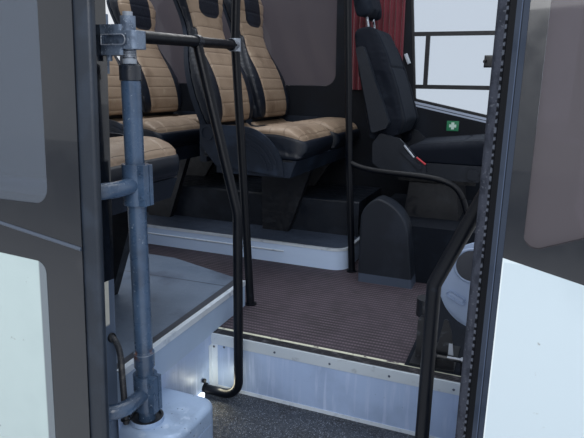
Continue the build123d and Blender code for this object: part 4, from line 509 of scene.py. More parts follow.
jamb_rubber = Finish("jamb_rubber", tone(52, 56, 67), 0.8, specular_ior_level=0.15)
jamb_rubber.paint(tone(39, 43, 53),
                  jamb_rubber.between(jamb_rubber.noise(30, 6, jamb_rubber.stretched((2, 2, 1))), 0.46, 0.62))
jamb_rubber.paint(tone(74, 78, 88), jamb_rubber.patches(190, 0.58, 0.72, 5))
ragged = jamb_rubber.maths("ADD", jamb_rubber.maths("DIVIDE", jamb_rubber.axis("Z"), SEAL_TOOTH),
                           jamb_rubber.noise(55, 2))
tooth = jamb_rubber.maths("ABSOLUTE", jamb_rubber.maths("SUBTRACT", jamb_rubber.maths("FRACT", ragged), 0.5))
# The seal's edge towards the post is painted near black as the shade in the gap; its ragged teeth are painted
# over it.
at_edge = jamb_rubber.between(jamb_rubber.axis("X"), 0.9185, 0.9195)
jamb_rubber.paint(tone(8, 11, 18), at_edge)
tooth_tip = jamb_rubber.both(at_edge, jamb_rubber.fades(jamb_rubber.axis("X"), 0.9225, 0.9232))
jamb_rubber.paint(tone(82, 88, 100), jamb_rubber.both(tooth_tip, jamb_rubber.fades(tooth, 0.14, 0.34)))
jamb_rubber.bump(jamb_rubber.noise(150, 4), 0.002)
jamb_rubber.wear("door_seal")

seal_rubber = Finish("seal_rubber", tone(24, 33, 45), 0.4)
seal_rubber.paint(tone(34, 44, 58), seal_rubber.patches(12, 0.46, 0.7, 5))
seal_rubber.bump(seal_rubber.noise(190, 3), 0.0004)
seal_rubber.wear("leaf_seal")

wall_board = Finish("wall_board", tone(7, 13, 23), 0.65, specular_ior_level=0.25)
wall_board.paint(tone(13, 21, 33), wall_board.patches(5, 0.45, 0.7, 4))
sill = wall_board.maths("ADD", wall_board.axis("Z"),
                        wall_board.both(wall_board.maths("SUBTRACT", wall_board.axis("X"), 0.372), 0.2))
strip = wall_board.both(wall_board.band(sill, 1.0290, 1.0560),
                        wall_board.between(wall_board.axis("X"), 0.372, 0.374))
wall_board.paint(tone(166, 178, 200), strip)
wall_board.paint(tone(30, 38, 52), wall_board.both(strip, wall_board.band(sill, 1.0390, 1.0430, 0.001)))
outside = wall_board.fades(behind_skin(wall_board, 1.675, -1), 0.004, 0.005)
wall_board.paint(tone(15, 20, 29), outside)
white_below = wall_board.fades(wall_board.axis("Z"), WHITE_UP_TO - 0.001, WHITE_UP_TO)
wall_board.paint(tone(192, 208, 218), wall_board.both(outside, white_below))
wall_board.bump(wall_board.noise(600, 2), 0.0004)
wall_board.wear("far_wall")

grey_moulding = Finish("grey_moulding", tone(150, 168, 198), 0.5)
grey_moulding.paint(tone(136, 154, 184), grey_moulding.patches(4, 0.4, 0.7))
grey_moulding.bump(grey_moulding.noise(900, 2), 0.0003)

panel_cloth = Finish("panel_cloth", tone(54, 74, 102), 0.7)
panel_cloth.paint(tone(42, 58, 82), panel_cloth.patches(6, 0.42, 0.7, 4))
panel_cloth.wear("speaker_panel")

black_moulding = Finish("black_moulding", tone(13, 21, 33), 0.5, specular_ior_level=0.35)
black_moulding.paint(tone(27, 35, 48), black_moulding.patches(9, 0.46, 0.7, 4))
black_moulding.rough(black_moulding.noise(24), 0.4, 0.6)
black_moulding.bump(black_moulding.cells(900), 0.0003)
black_moulding.wear("seat_duct", "driver_base", "driver_armrest", "belt_stalk")

shell_plastic = Finish("shell_plastic", tone(20, 29, 43), 0.5, specular_ior_level=0.35)
shell_plastic.paint(tone(38, 50, 68), shell_plastic.patches(9, 0.46, 0.7, 4))
shell_plastic.bump(shell_plastic.cells(900), 0.0003)
shell_plastic.wear("seat_shells")

locker_paint = Finish("locker_black", tone(15, 23, 35), 0.55, specular_ior_level=0.35)
locker_paint.paint(tone(28, 36, 49), locker_paint.patches(7, 0.46, 0.7, 4))
locker_paint.paint(tone(66, 77, 96), locker_paint.fades(locker_paint.axis("Z"), 0.300, 0.302))
locker_paint.bump(locker_paint.cells(700), 0.0004)
locker_paint.wear("locker")

# %% [markdown]
# ## Glass
# Bus glass is tinted through. A transmission shader would darken twice, once at each face, so the
# tint is mixed: mostly a clear view with a tint, and a share of plain gloss on top. The driver's
# own window, forward of the seats on the far side, is hardly tinted, so its share is masked.


# %% Tinted panes
def tinted_glass(name, tint, see_through, clear_tint=None):
    """Tinted glass: a transparent share and a dark glossy share."""
    pane = Finish(name, tint, 0.04)
    pane.rough(pane.noise(3), 0.02, 0.07)
    clear = pane.add("ShaderNodeBsdfTransparent")
    clear.inputs["Color"].default_value = tint
    mix = pane.add("ShaderNodeMixShader")
    mix.inputs["Fac"].default_value = see_through
    if clear_tint:
        far_and_forward = pane.both(pane.between(pane.axis("X"), 0.30, 0.31),
                                    pane.between(pane.axis("Y"), 0.0, 0.1))
        blend = pane.add("ShaderNodeMix", data_type="RGBA")
        pane.set(blend, 0, far_and_forward)
        blend.inputs[6].default_value = tint
        blend.inputs[7].default_value = clear_tint
        pane.set(clear, "Color", blend.outputs[2])
        pane.set(mix, "Fac", pane.between(far_and_forward, 0.0, 1.0, see_through, 0.95))
    output = pane.tree.nodes["Material Output"]
    pane.tree.links.new(pane.shader.outputs["BSDF"], mix.inputs[1])
    pane.tree.links.new(clear.outputs["BSDF"], mix.inputs[2])
    pane.tree.links.new(mix.outputs["Shader"], output.inputs["Surface"])
    return pane


tinted_glass("dark_glass", tone(170, 180, 194), 0.78).wear("leaf_glass")
tinted_glass("side_pane", tone(124, 119, 126), 0.6, tone(240, 245, 250)).wear("side_glass")

# %% [markdown]
# ## Padding
# A seat is foam under a tight cover. Each pad starts as a merged copy of one CAD solid, drawn in a
# little and remeshed into even squares. Blender's Cloth blows it up from inside, so that it
# crowns between its edges, and a cap keeps it in the room that the CAD gives it. The maps that
# the covers' seams follow are written afterwards, because remeshing removes them.

# %% Copy one solid of a node
EVEN_SQUARE = 0.010
PAD_FRAMES = 20
PAD_PRESSURE = 4.0


def alone(piece):
    """Deselects all and selects one piece, as most operators need."""
    bpy.ops.object.select_all(action="DESELECT")
    piece.select_set(True)
    bpy.context.view_layer.objects.active = piece


def linked(name, data):
    """A new object of the scene with the data it is given."""
    made = bpy.data.objects.new(name, data)
    bpy.context.scene.collection.objects.link(made)
    return made


def apply_all(piece):
    alone(piece)
    for modifier in list(piece.modifiers):
        bpy.ops.object.modifier_apply(modifier=modifier.name)


def loose_solid(name, node, x, y):
    """A merged copy of the one solid of a CAD node that stands over a place on the bus."""
    mesh = bmesh.new()
    mesh.from_mesh(nodes[node].data)
    bmesh.ops.remove_doubles(mesh, verts=mesh.verts, dist=0.00001)
    goal = spot(x, y, 0)
    left = set(mesh.verts)
    wanted = set()
    while left and not wanted:
        stack = [left.pop()]
        group = set(stack)
        while stack:
            for edge in stack.pop().link_edges:
                for vert in edge.verts:
                    if vert in left:
                        left.discard(vert)
                        group.add(vert)
                        stack.append(vert)
        spans = [(min(v.co[axis] for v in group), max(v.co[axis] for v in group)) for axis in (0, 1)]
        if all(low < goal[axis] < high for axis, (low, high) in enumerate(spans)):
            wanted = group
    bmesh.ops.delete(mesh, geom=[v for v in mesh.verts if v not in wanted], context="VERTS")
    data = bpy.data.meshes.new(name)
    mesh.to_mesh(data)
    mesh.free()
    return linked(name, data)


# %% Blow up a pad
def blow_up(piece, cap, freedom, square=EVEN_SQUARE, soften=8):
    """Turns a sharp block into a crowned pad. Freedom says, from 0 to 1, how far a place may swell."""
    remesh = piece.modifiers.new("even squares", "REMESH")
    remesh.mode = "VOXEL"
    remesh.voxel_size = square
    smooth = piece.modifiers.new("soft edges", "SMOOTH")
    smooth.factor = 0.5
    smooth.iterations = soften
    apply_all(piece)
    before = [vertex.co.copy() for vertex in piece.data.vertices]
    cloth = piece.modifiers.new("pressure", "CLOTH")
    cloth.settings.use_pressure = True
    cloth.settings.uniform_pressure_force = PAD_PRESSURE
    cloth.settings.effector_weights.gravity = 0.0
    cloth.point_cache.frame_end = PAD_FRAMES
    for frame_number in range(1, PAD_FRAMES + 1):
        bpy.context.scene.frame_set(frame_number)
    apply_all(piece)
    bpy.context.scene.frame_set(1)
    widest = 0.0
    for vertex, start in zip(piece.data.vertices, before):
        move = vertex.co - start
        limit = cap * freedom(start)
        if move.length > limit:
            move *= limit / move.length
        vertex.co = start + move
        widest = max(widest, move.length)
    finer = piece.modifiers.new("finer", "SUBSURF")
    finer.levels = finer.render_levels = 1
    apply_all(piece)
    print(piece.name, "has", len(piece.data.polygons), "faces and swelled by", round(widest * 1000, 1), "mm")


def cover_up(piece, place_on_cover, groove):
    """Writes a pad's cover maps, presses its seams in, and rounds its shading."""
    cover = piece.data.uv_layers.new(name="cover")
    depth = piece.data.uv_layers.new(name="depth")
    places = [place_on_cover(vertex.co) for vertex in piece.data.vertices]
    for loop in piece.data.loops:
        across, along, behind = places[loop.vertex_index]
        cover.data[loop.index].uv = (across, along)
        depth.data[loop.index].uv = (behind, 0.0)
    normals = [vertex.normal.copy() for vertex in piece.data.vertices]
    for vertex, normal, (across, along, behind) in zip(piece.data.vertices, normals, places):
        vertex.co -= normal * groove(across, along, behind)
    alone(piece)
    bpy.ops.object.shade_smooth()


def valley(value, middle, half_wide, deep):
    """How deep a rounded groove is at a value, in metres."""
    share = (value - middle) / half_wide
    return deep * math.exp(-share * share)


def finish_pad(piece, node, body, finish):
    piece.data.materials.clear()
    piece.data.materials.append(finish.material)
    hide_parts(node)
    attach(piece, body)


# %% [markdown]
# ## Passenger seats
# All five seats are alike, so one cushion and one back are padded and then copied to their places.
# A back leans 16 degrees. Its cover is read in its own directions: across, up along the lean,
# and behind the front face. The beige middle is nearly straight, the dark bolsters widen at the
# waist, and the headrest has a dark inset.

# %% The seats' own directions
SEAT_NOSE = (95, 655)
SEAT_HALF = 220
SEAT_DEEP = 460
BACK_FOOT_Z = 684.3
BACK_LEAN = math.radians(16)
SEAT_PLACES = {"front_aisle": (95, 655), "front_wall": (95, 1135), "rear_aisle": (-655, 655),
               "rear_wall": (-655, 1135), "single": (-125, -380)}
SWELL = ((0, 14), (70, 30), (160, 36), (250, 28), (350, 8), (440, 0), (530, 8), (640, 26), (720, 32),
         (780, 32))


def swell_at(along):
    """How far the back's front face stands forward of its lean, in metres."""
    for (low, first), (high, second) in zip(SWELL, SWELL[1:]):
        if along * 1000 <= high:
            share = (along * 1000 - low) / (high - low)
            return (first + (second - first) * share) * 0.001
    return SWELL[-1][1] * 0.001


def on_back(place):
    """Across, along and behind the face of the first seat's back."""
    foot = spot(SEAT_NOSE[0] - SEAT_DEEP, SEAT_NOSE[1] + SEAT_HALF, BACK_FOOT_Z)
    rearwards = foot.x - place.x
    upwards = place.z - foot.z
    along = rearwards * math.sin(BACK_LEAN) + upwards * math.cos(BACK_LEAN)
    behind = rearwards * math.cos(BACK_LEAN) - upwards * math.sin(BACK_LEAN)
    return place.y - foot.y, along, behind + swell_at(along)


def on_cushion(place):
    """Across, back from the nose, and below the top of the first seat's cushion."""
    nose = spot(SEAT_NOSE[0], SEAT_NOSE[1] + SEAT_HALF, 684)
    back = nose.x - place.x
    fall = 0.028 * max(0.0, 1 - back / 0.16) ** 1.6
    return place.y - nose.y, back, nose.z - fall - place.z


# %% Pad one back and one cushion
def middle_half(along):
    """Half the width of the beige middle, in metres, at a height up the back."""
    if along < 0.33:
        return 0.142
    if along < 0.45:
        return 0.142 - 0.016 * (along - 0.33) / 0.12
    return 0.126 + 0.070 * min(1.0, (along - 0.45) / 0.08)


def back_groove(across, along, behind):
    if behind > 0.02:
        return valley(behind, 0.03, 0.006, 0.001)
    seam = valley(abs(across), middle_half(along), 0.006, 0.006)
    return seam + valley((along / 0.062) % 1, 0.5, 0.09, 0.0016) * (abs(across) < middle_half(along))


def cushion_groove(across, back, below):
    seam = valley(below, 0.024, 0.005, 0.005)
    lengthwise = valley(abs(across), 0.13, 0.005, 0.004) * (below < 0.02)
    return seam + lengthwise


first_back = loose_solid("passenger_back_front_aisle", "seat_backs", SEAT_NOSE[0] - SEAT_DEEP - 20,
                         SEAT_NOSE[1] + SEAT_HALF)
blow_up(first_back, 0.009, lambda place: 1.0 if on_back(place)[2] < 0.04 else 0.0)
cover_up(first_back, on_back, back_groove)

first_cushion = loose_solid("passenger_cushion_front_aisle", "seat_cushions", SEAT_NOSE[0] - 200,
                            SEAT_NOSE[1] + SEAT_HALF)
blow_up(first_cushion, 0.008,
        lambda place: 1.0 if on_cushion(place)[2] < 0.1 and on_cushion(place)[1] < 0.44 else 0.0)
cover_up(first_cushion, on_cushion, cushion_groove)

# %% [markdown]
# ## The leatherette covers
# The colours meet along a seam, so they are told apart by the cover's own map and stay crisp however
# coarse the mesh is. Cross stitching every 62 mm is a fine bump, with a darker line in it: part the
# seam's own line and part painted shade in its crease.


# %% Beige and blue-black leatherette
def leatherette(name):
    finish = Finish(name, tone(15, 22, 34), 0.42, specular_ior_level=0.4)
    finish.paint(tone(24, 33, 47), finish.patches(11, 0.5, 0.75, 4))
    finish.bump(finish.cells(620), 0.0004)
    finish.bump(finish.noise(16, 3), 0.004, 0.5)
    return finish


def stitches(finish, along, pitch, wide):
    """1 on the stitched lines that cross a cover at a pitch."""
    return finish.fades(finish.from_mid_row(along, pitch), 0.0, wide / pitch)


BEIGE = tone(154, 135, 117)
SHADED_BEIGE = tone(128, 110, 94)
WORN_BEIGE = tone(172, 155, 136)

back_cover = leatherette("back_leatherette")
across, along = back_cover.on_map("cover")
behind = back_cover.on_map("depth")[0]
side = back_cover.maths("ABSOLUTE", across)
waist = back_cover.between(along, 0.33, 0.45, 0.142, 0.126)
flare = back_cover.between(along, 0.45, 0.53, 0.0, 0.07)
inside = back_cover.fades(back_cover.maths("SUBTRACT", side, back_cover.maths("ADD", waist, flare)), -0.001,
                          0.001)
front = back_cover.fades(behind, 0.016, 0.019)
middle = back_cover.both(inside, front)
corner = back_cover.maths("POWER", back_cover.maths("DIVIDE", side, 0.094), 4.0)
inset_low = back_cover.maths("ADD", back_cover.both(corner, 0.034), 0.512)
inset = back_cover.both(back_cover.between(back_cover.maths("SUBTRACT", along, inset_low), -0.001, 0.001),
                        back_cover.fades(side, 0.0935, 0.0945))
beige_part = back_cover.both(middle, back_cover.maths("SUBTRACT", 1.0, inset))
lines = back_cover.both(beige_part, stitches(back_cover, along, 0.062, 0.0016))
back_cover.paint(BEIGE, beige_part)
back_cover.paint(SHADED_BEIGE, back_cover.both(beige_part, back_cover.patches(6, 0.44, 0.7, 5)))
back_cover.paint(WORN_BEIGE, back_cover.both(beige_part, back_cover.patches(19, 0.6, 0.8, 6)))
# The stitched lines are darker: the seam's line and painted shade in its crease.
back_cover.paint(tone(96, 80, 66), lines)
back_cover.bump(back_cover.maths("SUBTRACT", 1.0, lines), 0.0015)

cushion_cover = leatherette("cushion_leatherette")
across, along = cushion_cover.on_map("cover")
below = cushion_cover.on_map("depth")[0]
top = cushion_cover.fades(below, 0.0235, 0.0250)
lines = cushion_cover.both(top, stitches(cushion_cover, along, 0.070, 0.0016))
cushion_cover.paint(BEIGE, top)
cushion_cover.paint(SHADED_BEIGE, cushion_cover.both(top, cushion_cover.patches(5, 0.44, 0.7, 5)))
cushion_cover.paint(WORN_BEIGE, cushion_cover.both(top, cushion_cover.patches(23, 0.58, 0.78, 6)))
# The stitched lines are darker: the seam's line and painted shade in its crease.
cushion_cover.paint(tone(96, 80, 66), lines)
cushion_cover.bump(cushion_cover.maths("SUBTRACT", 1.0, lines), 0.0015)

# %% Copy the seat to its places
for kind, first, node, finish in (("back", first_back, "seat_backs", back_cover),
                                  ("cushion", first_cushion, "seat_cushions", cushion_cover)):
    finish_pad(first, node, "section", finish)
    for where, (nose, near) in SEAT_PLACES.items():
        if (nose, near) == SEAT_NOSE:
            continue
        twin = linked(f"passenger_{kind}_{where}", first.data.copy())
        move = Vector((nose - SEAT_NOSE[0], near - SEAT_NOSE[1], 0)) * 0.001
        twin.data.transform(Matrix.Translation(move))
        finish_pad(twin, node, "section", finish)
    print("Copied the", kind, "to", len(SEAT_PLACES), "seats")

# %% [markdown]
# ## Driver's seat
# The driver's cushion, back and headrest are black. Their middles are woven cloth, and their
# bolsters stand proud and are smooth, with a piped seam between.

# %% Pad the driver's seat
DRIVER_MIDDLE_Y = 1245
DRIVER_HINGE = (372, 600)
DRIVER_LEAN = math.radians(11)
PANEL_HALF = 0.150


def on_driver_back(place):
    """Across, along and behind the hinge line of the driver's back, in metres."""
    hinge = spot(DRIVER_HINGE[0], DRIVER_MIDDLE_Y, DRIVER_HINGE[1])
    forwards = place.x - hinge.x
    upwards = place.z - hinge.z
    along = upwards * math.cos(DRIVER_LEAN) - forwards * math.sin(DRIVER_LEAN)
    ahead = upwards * math.sin(DRIVER_LEAN) + forwards * math.cos(DRIVER_LEAN)
    return place.y - hinge.y, along, 0.1 - ahead


def on_driver_cushion(place):
    nose = spot(850, DRIVER_MIDDLE_Y, 640)
    return place.y - nose.y, nose.x - place.x, nose.z - place.z


def driver_back_groove(across, along, behind):
    side_seam = valley(abs(across), PANEL_HALF, 0.007, 0.009) * (behind < 0.1)
    on_panel = abs(across) < PANEL_HALF and behind < 0.1
    return side_seam + valley(along, 0.36, 0.006, 0.006) * on_panel


def driver_cushion_groove(across, along, behind):
    side_seam = valley(abs(across), PANEL_HALF, 0.007, 0.008)
    return side_seam + valley(along, 0.13, 0.006, 0.005) * (abs(across) < PANEL_HALF)


def no_groove(across, along, behind):
    return 0.0


driver_cover = Finish("driver_cloth", tone(8, 15, 27), 0.75, specular_ior_level=0.15)
across, along = driver_cover.on_map("cover")
panel = driver_cover.fades(driver_cover.maths("ABSOLUTE", across), PANEL_HALF - 0.001, PANEL_HALF + 0.001)
driver_cover.paint(tone(22, 29, 41),
                   driver_cover.both(panel, driver_cover.between(driver_cover.cells(520), 0.2, 0.5)))
driver_cover.paint(tone(30, 37, 48), driver_cover.patches(9, 0.6, 0.8, 5))
driver_cover.bump(driver_cover.both(panel, driver_cover.cells(420)), 0.0008)
driver_cover.bump(driver_cover.noise(12, 3), 0.003, 0.5)

driver_pads = (
    ("driver_seat_back", "driver_back", 330, on_driver_back, driver_back_groove, "driver_backrest"),
    ("driver_seat_headrest", "driver_headrest", 180, on_driver_back, no_groove, "driver_backrest"),
    ("driver_seat_cushion", "driver_cushion", 650, on_driver_cushion, driver_cushion_groove, "driver_seat"))
for name, node, x, place_on_cover, groove, body in driver_pads:
    pad = loose_solid(name, node, x, DRIVER_MIDDLE_Y)
    blow_up(pad, 0.009, lambda place: 1.0, 0.008, 5)
    cover_up(pad, place_on_cover, groove)
    finish_pad(pad, node, body, driver_cover)

# %% [markdown]
# ## The curtain
# The red curtain hangs gathered on its rod. It is one sheet of cloth, half a metre wide when
# flat. Each row of points is folded just as far as uses up that width, so the cloth is neither
# stretched nor shrunk, and its folds wander a little on their way down.

# %% Fold the curtain
CURTAIN_REAR = 10
CURTAIN_FRONT = 308
CURTAIN_TOP = 1626
CURTAIN_FOOT = 850
CURTAIN_FLAT_WIDTH = 0.50
CURTAIN_FOLDS = 9
COLUMNS = 180
ROWS = 56


def curtain_row(height, amplitude):
    """The points of one row of the cloth, for folds of one amplitude in millimetres."""
    low = (CURTAIN_TOP - height) / (CURTAIN_TOP - CURTAIN_FOOT)
    row = []
    for step in range(COLUMNS + 1):
        share = step / COLUMNS
        phase = share * CURTAIN_FOLDS * 2 * math.pi
        slow, quick = math.sin(phase * 0.31 + 2.1 * low), math.sin(phase * 0.53 + 4.0 * low)
        wander = low * (0.5 * slow + 0.35 * quick)
        middle = 1675 - 0.041 * height - 76
        x = CURTAIN_REAR + share * (CURTAIN_FRONT - CURTAIN_REAR)
        row.append(spot(x, middle + amplitude * math.sin(phase + wander), height))
    return row


def row_length(row):
    return sum((second - first).length for first, second in zip(row, row[1:]))


cloth_points = []
for number in range(ROWS + 1):
    height = CURTAIN_TOP - (CURTAIN_TOP - CURTAIN_FOOT) * number / ROWS
    least, most = 2.0, 24.0
    for halving in range(16):
        amplitude = (least + most) / 2
        if row_length(curtain_row(height, amplitude)) < CURTAIN_FLAT_WIDTH:
            least = amplitude
        else:
            most = amplitude
    cloth_points.extend(curtain_row(height, amplitude))
wide = COLUMNS + 1
cloth_faces = [(row * wide + step, (row + 1) * wide + step, (row + 1) * wide + step + 1,
                row * wide + step + 1) for row in range(ROWS) for step in range(COLUMNS)]
curtain_mesh = bpy.data.meshes.new("window_curtain")
curtain_mesh.from_pydata(cloth_points, [], cloth_faces)
window_curtain = linked("window_curtain", curtain_mesh)
alone(window_curtain)
bpy.ops.object.shade_smooth()
print("The folds are", round(amplitude, 1), "mm deep at the foot")

red_cloth = Finish("red_cloth", tone(104, 24, 42), 0.8, sheen_weight=0.2)
red_cloth.paint(tone(78, 15, 30), red_cloth.patches(8, 0.5, 0.75, 4))
red_cloth.bump(red_cloth.waves(700, "Z"), 0.0003)
window_curtain.data.materials.append(red_cloth.material)
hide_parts("curtain")
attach(window_curtain, "section")

# %% [markdown]
# ## The wiring hose
# A corrugated hose guards the door's wires from the jamb down into the bearing box. It follows a
# smooth curve, and its rings are pulled out along it as a tube whose radius goes up and down.

# %% Draw the hose
HOSE_R = 0.0088
RING_PITCH = 0.0042
hose_route = [spot(8.7, -531, 215), spot(34, -531, 204), spot(34, -528, 90), spot(25, -512.5, -49.7)]


def smooth_line(name, route, order, resolution):
    """The points of a smooth NURBS curve that a route of places leads."""
    curve = bpy.data.curves.new(name, "CURVE")
    curve.dimensions = "3D"
    curve.resolution_u = resolution
    spline = curve.splines.new("NURBS")
    spline.points.add(len(route) - 1)
    for point, place in zip(spline.points, route):
        point.co = (*place, 1.0)
    spline.order_u = order
    spline.use_endpoint_u = True
    holder = linked(name, curve)
    points = [vertex.co.copy() for vertex in bpy.data.meshes.new_from_object(holder).vertices]
    bpy.data.objects.remove(holder)
    return points


line = smooth_line("hose_line", hose_route, 3, 60)
hose_length = sum((second - first).length for first, second in zip(line, line[1:]))
print("The hose is", round(hose_length * 1000), "mm long")


def along_line(distance):
    """The point and direction at a distance along the hose's line."""
    for first, second in zip(line, line[1:]):
        step = (second - first).length
        if distance <= step:
            return first.lerp(second, distance / step), (second - first).normalized()
        distance -= step
    return line[-1].copy(), (line[-1] - line[-2]).normalized()


hose_points = []
hose_faces = []
AROUND = 18
rings = int(hose_length / RING_PITCH * 4)
for number in range(rings + 1):
    middle, ahead = along_line(hose_length * number / rings)
    first_side = ahead.cross(Vector((0, 1, 0))).normalized()
    second_side = ahead.cross(first_side).normalized()
    radius = HOSE_R * (0.92 + 0.08 * math.cos(number * math.pi / 2))
    for step in range(AROUND):
        turn_by = 2 * math.pi * step / AROUND
        outwards = first_side * math.cos(turn_by) + second_side * math.sin(turn_by)
        hose_points.append(middle + outwards * radius)
    if number:
        for step in range(AROUND):
            after = (step + 1) % AROUND
            here = (number - 1) * AROUND
            hose_faces.append((here + step, here + after, here + AROUND + after, here + AROUND + step))
hose_faces.append(tuple(reversed(range(AROUND))))
hose_faces.append(tuple(range(rings * AROUND, (rings + 1) * AROUND)))
hose_mesh = bpy.data.meshes.new("wiring_guard")
hose_mesh.from_pydata(hose_points, [], hose_faces)
wiring_guard = linked("wiring_guard", hose_mesh)
alone(wiring_guard)
bpy.ops.object.mode_set(mode="EDIT")
bpy.ops.mesh.select_all(action="SELECT")
bpy.ops.mesh.normals_make_consistent(inside=False)
bpy.ops.object.mode_set(mode="OBJECT")
bpy.ops.object.shade_smooth_by_angle(angle=math.radians(50))
hose_plastic = Finish("hose_plastic", tone(46, 50, 58), 0.5)
hose_plastic.paint(tone(92, 92, 92), hose_plastic.patches(60, 0.52, 0.72, 5))
wiring_guard.data.materials.append(hose_plastic.material)
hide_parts("wiring_hose")
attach(wiring_guard, "section")

# %% [markdown]
# ## Small fittings
# Each small fitting starts as a primitive at its place, is shaped in edit mode, and gets rounded
# edges. Its turn and place are then applied to its mesh, so that its object sits at the origin.

# %% Hand over a shaped piece
def finished(piece, name, finish, body="section", bevel=0.0):
    """Applies a piece's place, rounds its edges and gives it its finish, slot and body."""
    piece.name = name
    alone(piece)
    bpy.ops.object.transform_apply(location=True, rotation=True, scale=True)
    if bevel:
        rounding = piece.modifiers.new("rounded edges", "BEVEL")
        rounding.width = bevel
        rounding.segments = 3
        bpy.ops.object.modifier_apply(modifier=rounding.name)
    bpy.ops.object.mode_set(mode="EDIT")
    bpy.ops.mesh.select_all(action="SELECT")
    bpy.ops.mesh.normals_make_consistent(inside=False)
    bpy.ops.object.mode_set(mode="OBJECT")
    bpy.ops.object.shade_smooth_by_angle(angle=math.radians(40))
    piece.data.materials.clear()
    piece.data.materials.append(finish.material)
    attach(piece, body)
    return piece


def block(x, y, z, across, deep, high, turn_by=0.0):
    """A block on the bus, in millimetres, turned about the axis that points across the bus."""
    bpy.ops.object.select_all(action="DESELECT")
    bpy.ops.mesh.primitive_cube_add(size=1, location=spot(x, y, z), rotation=(0, turn_by, 0))
    made = bpy.context.object
    made.scale = (across * 0.001, deep * 0.001, high * 0.001)
    return made


def disc(x, y, z, radius, deep, turn_by=(math.pi / 2, 0, 0), corners=40):
    bpy.ops.object.select_all(action="DESELECT")
    bpy.ops.mesh.primitive_cylinder_add(vertices=corners, radius=radius * 0.001, depth=deep * 0.001,
                                        location=spot(x, y, z), rotation=turn_by)
    return bpy.context.object


def inset_front(piece, inwards, steps):
    """Insets the face that looks to the door side, and moves it by each step's depth in mm."""
    alone(piece)
    bpy.ops.object.transform_apply(location=True, rotation=True, scale=True)
    bpy.ops.object.mode_set(mode="EDIT")
    bpy.ops.mesh.select_all(action="DESELECT")
    bpy.ops.object.mode_set(mode="OBJECT")
    front = min(piece.data.polygons, key=lambda face: face.center.y)
    front.select = True
    bpy.ops.object.mode_set(mode="EDIT")
    for depth in steps:
        bpy.ops.mesh.inset(thickness=inwards * 0.001, depth=0)
        bpy.ops.transform.translate(value=(0, depth * 0.001, 0))
    bpy.ops.object.mode_set(mode="OBJECT")
    return piece


def round_corners(piece, radius):
    """Rounds the four edges of a block that point across the bus, so its front becomes a capsule."""
    alone(piece)
    bpy.ops.object.transform_apply(location=True, rotation=True, scale=True)
    bpy.ops.object.mode_set(mode="EDIT")
    bpy.ops.mesh.select_all(action="DESELECT")
    bpy.ops.object.mode_set(mode="OBJECT")
    points = piece.data.vertices
    for edge in piece.data.edges:
        way = points[edge.vertices[0]].co - points[edge.vertices[1]].co
        edge.select = abs(way.normalized().y) > 0.99
    bpy.ops.object.mode_set(mode="EDIT")
    bpy.ops.mesh.bevel(offset=radius * 0.001, segments=8)
    bpy.ops.object.mode_set(mode="OBJECT")


# %% [markdown]
# ### The speaker pod
# The kick panel carries a rounded grey pod with a dark round speaker and a long shallow recess. An
# ellipse is inset twice for its soft rim. The speaker is a ring round a perforated disc.

# %% Make the speaker pod
pod = disc(900, 143.5, 270, 100, 12, corners=72)
pod.scale = (1.35, 1.45, 1.0)
inset_front(pod, 7, (-3, -3))
finished(pod, "speaker_pod", grey_moulding)

bpy.ops.object.select_all(action="DESELECT")
bpy.ops.mesh.primitive_torus_add(location=spot(862, 131, 337), rotation=(math.pi / 2, 0, 0),
                                 major_radius=0.053, minor_radius=0.005, major_segments=56, minor_segments=12)
finished(bpy.context.object, "speaker_ring", grey_moulding)

speaker_cloth = Finish("speaker_grille", tone(52, 56, 66), 0.6)
speaker_cloth.paint(tone(22, 24, 30), speaker_cloth.between(speaker_cloth.cells(420), 0.3, 0.16))
grille = inset_front(disc(862, 129.5, 337, 49, 6), 9, (-1.5, -1, -0.5))
finished(grille, "speaker_grille", speaker_cloth)

recess = block(821.5, 129.5, 226, 64, 5, 22, math.radians(27))
round_corners(recess, 10.5)
inset_front(recess, 3.5, (3,))
finished(recess, "pod_recess", grey_moulding)
print("The pod is", [round(side * 1000) for side in pod.dimensions], "mm")

# %% [markdown]
# ### Fittings of the cab
# The driver's headrest stands on two plated posts. Round the far window are a lock, a knob and the
# belt's upper guide, and the board below carries a plain first-aid sign: a pale cross on green.

# %% Make the cab's fittings
plating = Finish("dull_plating", tone(168, 176, 188), 0.3, metallic=0.6)
plating.rough(plating.noise(50), 0.22, 0.45)
dark_plastic = Finish("dark_plastic", tone(13, 17, 24), 0.42)

for number, y in enumerate((1185, 1305)):
    post = disc(203.5, y, 1178.5, 6, 62, (0, -DRIVER_LEAN, 0), 20)
    finished(post, f"headrest_post_{number + 1}", plating, "driver_backrest")
    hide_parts("driver_headrest")

lock = inset_front(block(754, 1568, 1007, 44, 14, 62), 5, (-5,))
finished(lock, "window_lock", dark_plastic, bevel=0.002)
tab = disc(738, 1560, 1007, 11, 8, corners=24)
finished(tab, "window_lock_tab", dark_plastic, bevel=0.002)

bpy.ops.object.select_all(action="DESELECT")
bpy.ops.mesh.primitive_uv_sphere_add(segments=24, ring_count=14, radius=0.010, location=spot(536, 1578, 588))
finished(bpy.context.object, "board_knob", plating)
finished(disc(536, 1591, 588, 5, 18, corners=20), "board_knob_stem", plating)

belt_guide = Finish("belt_guide", tone(176, 186, 198), 0.4)
guide = inset_front(block(331, 1571, 1020, 20, 10, 58, math.radians(-24)), 4, (-3,))
finished(guide, "belt_guide", belt_guide, bevel=0.003)

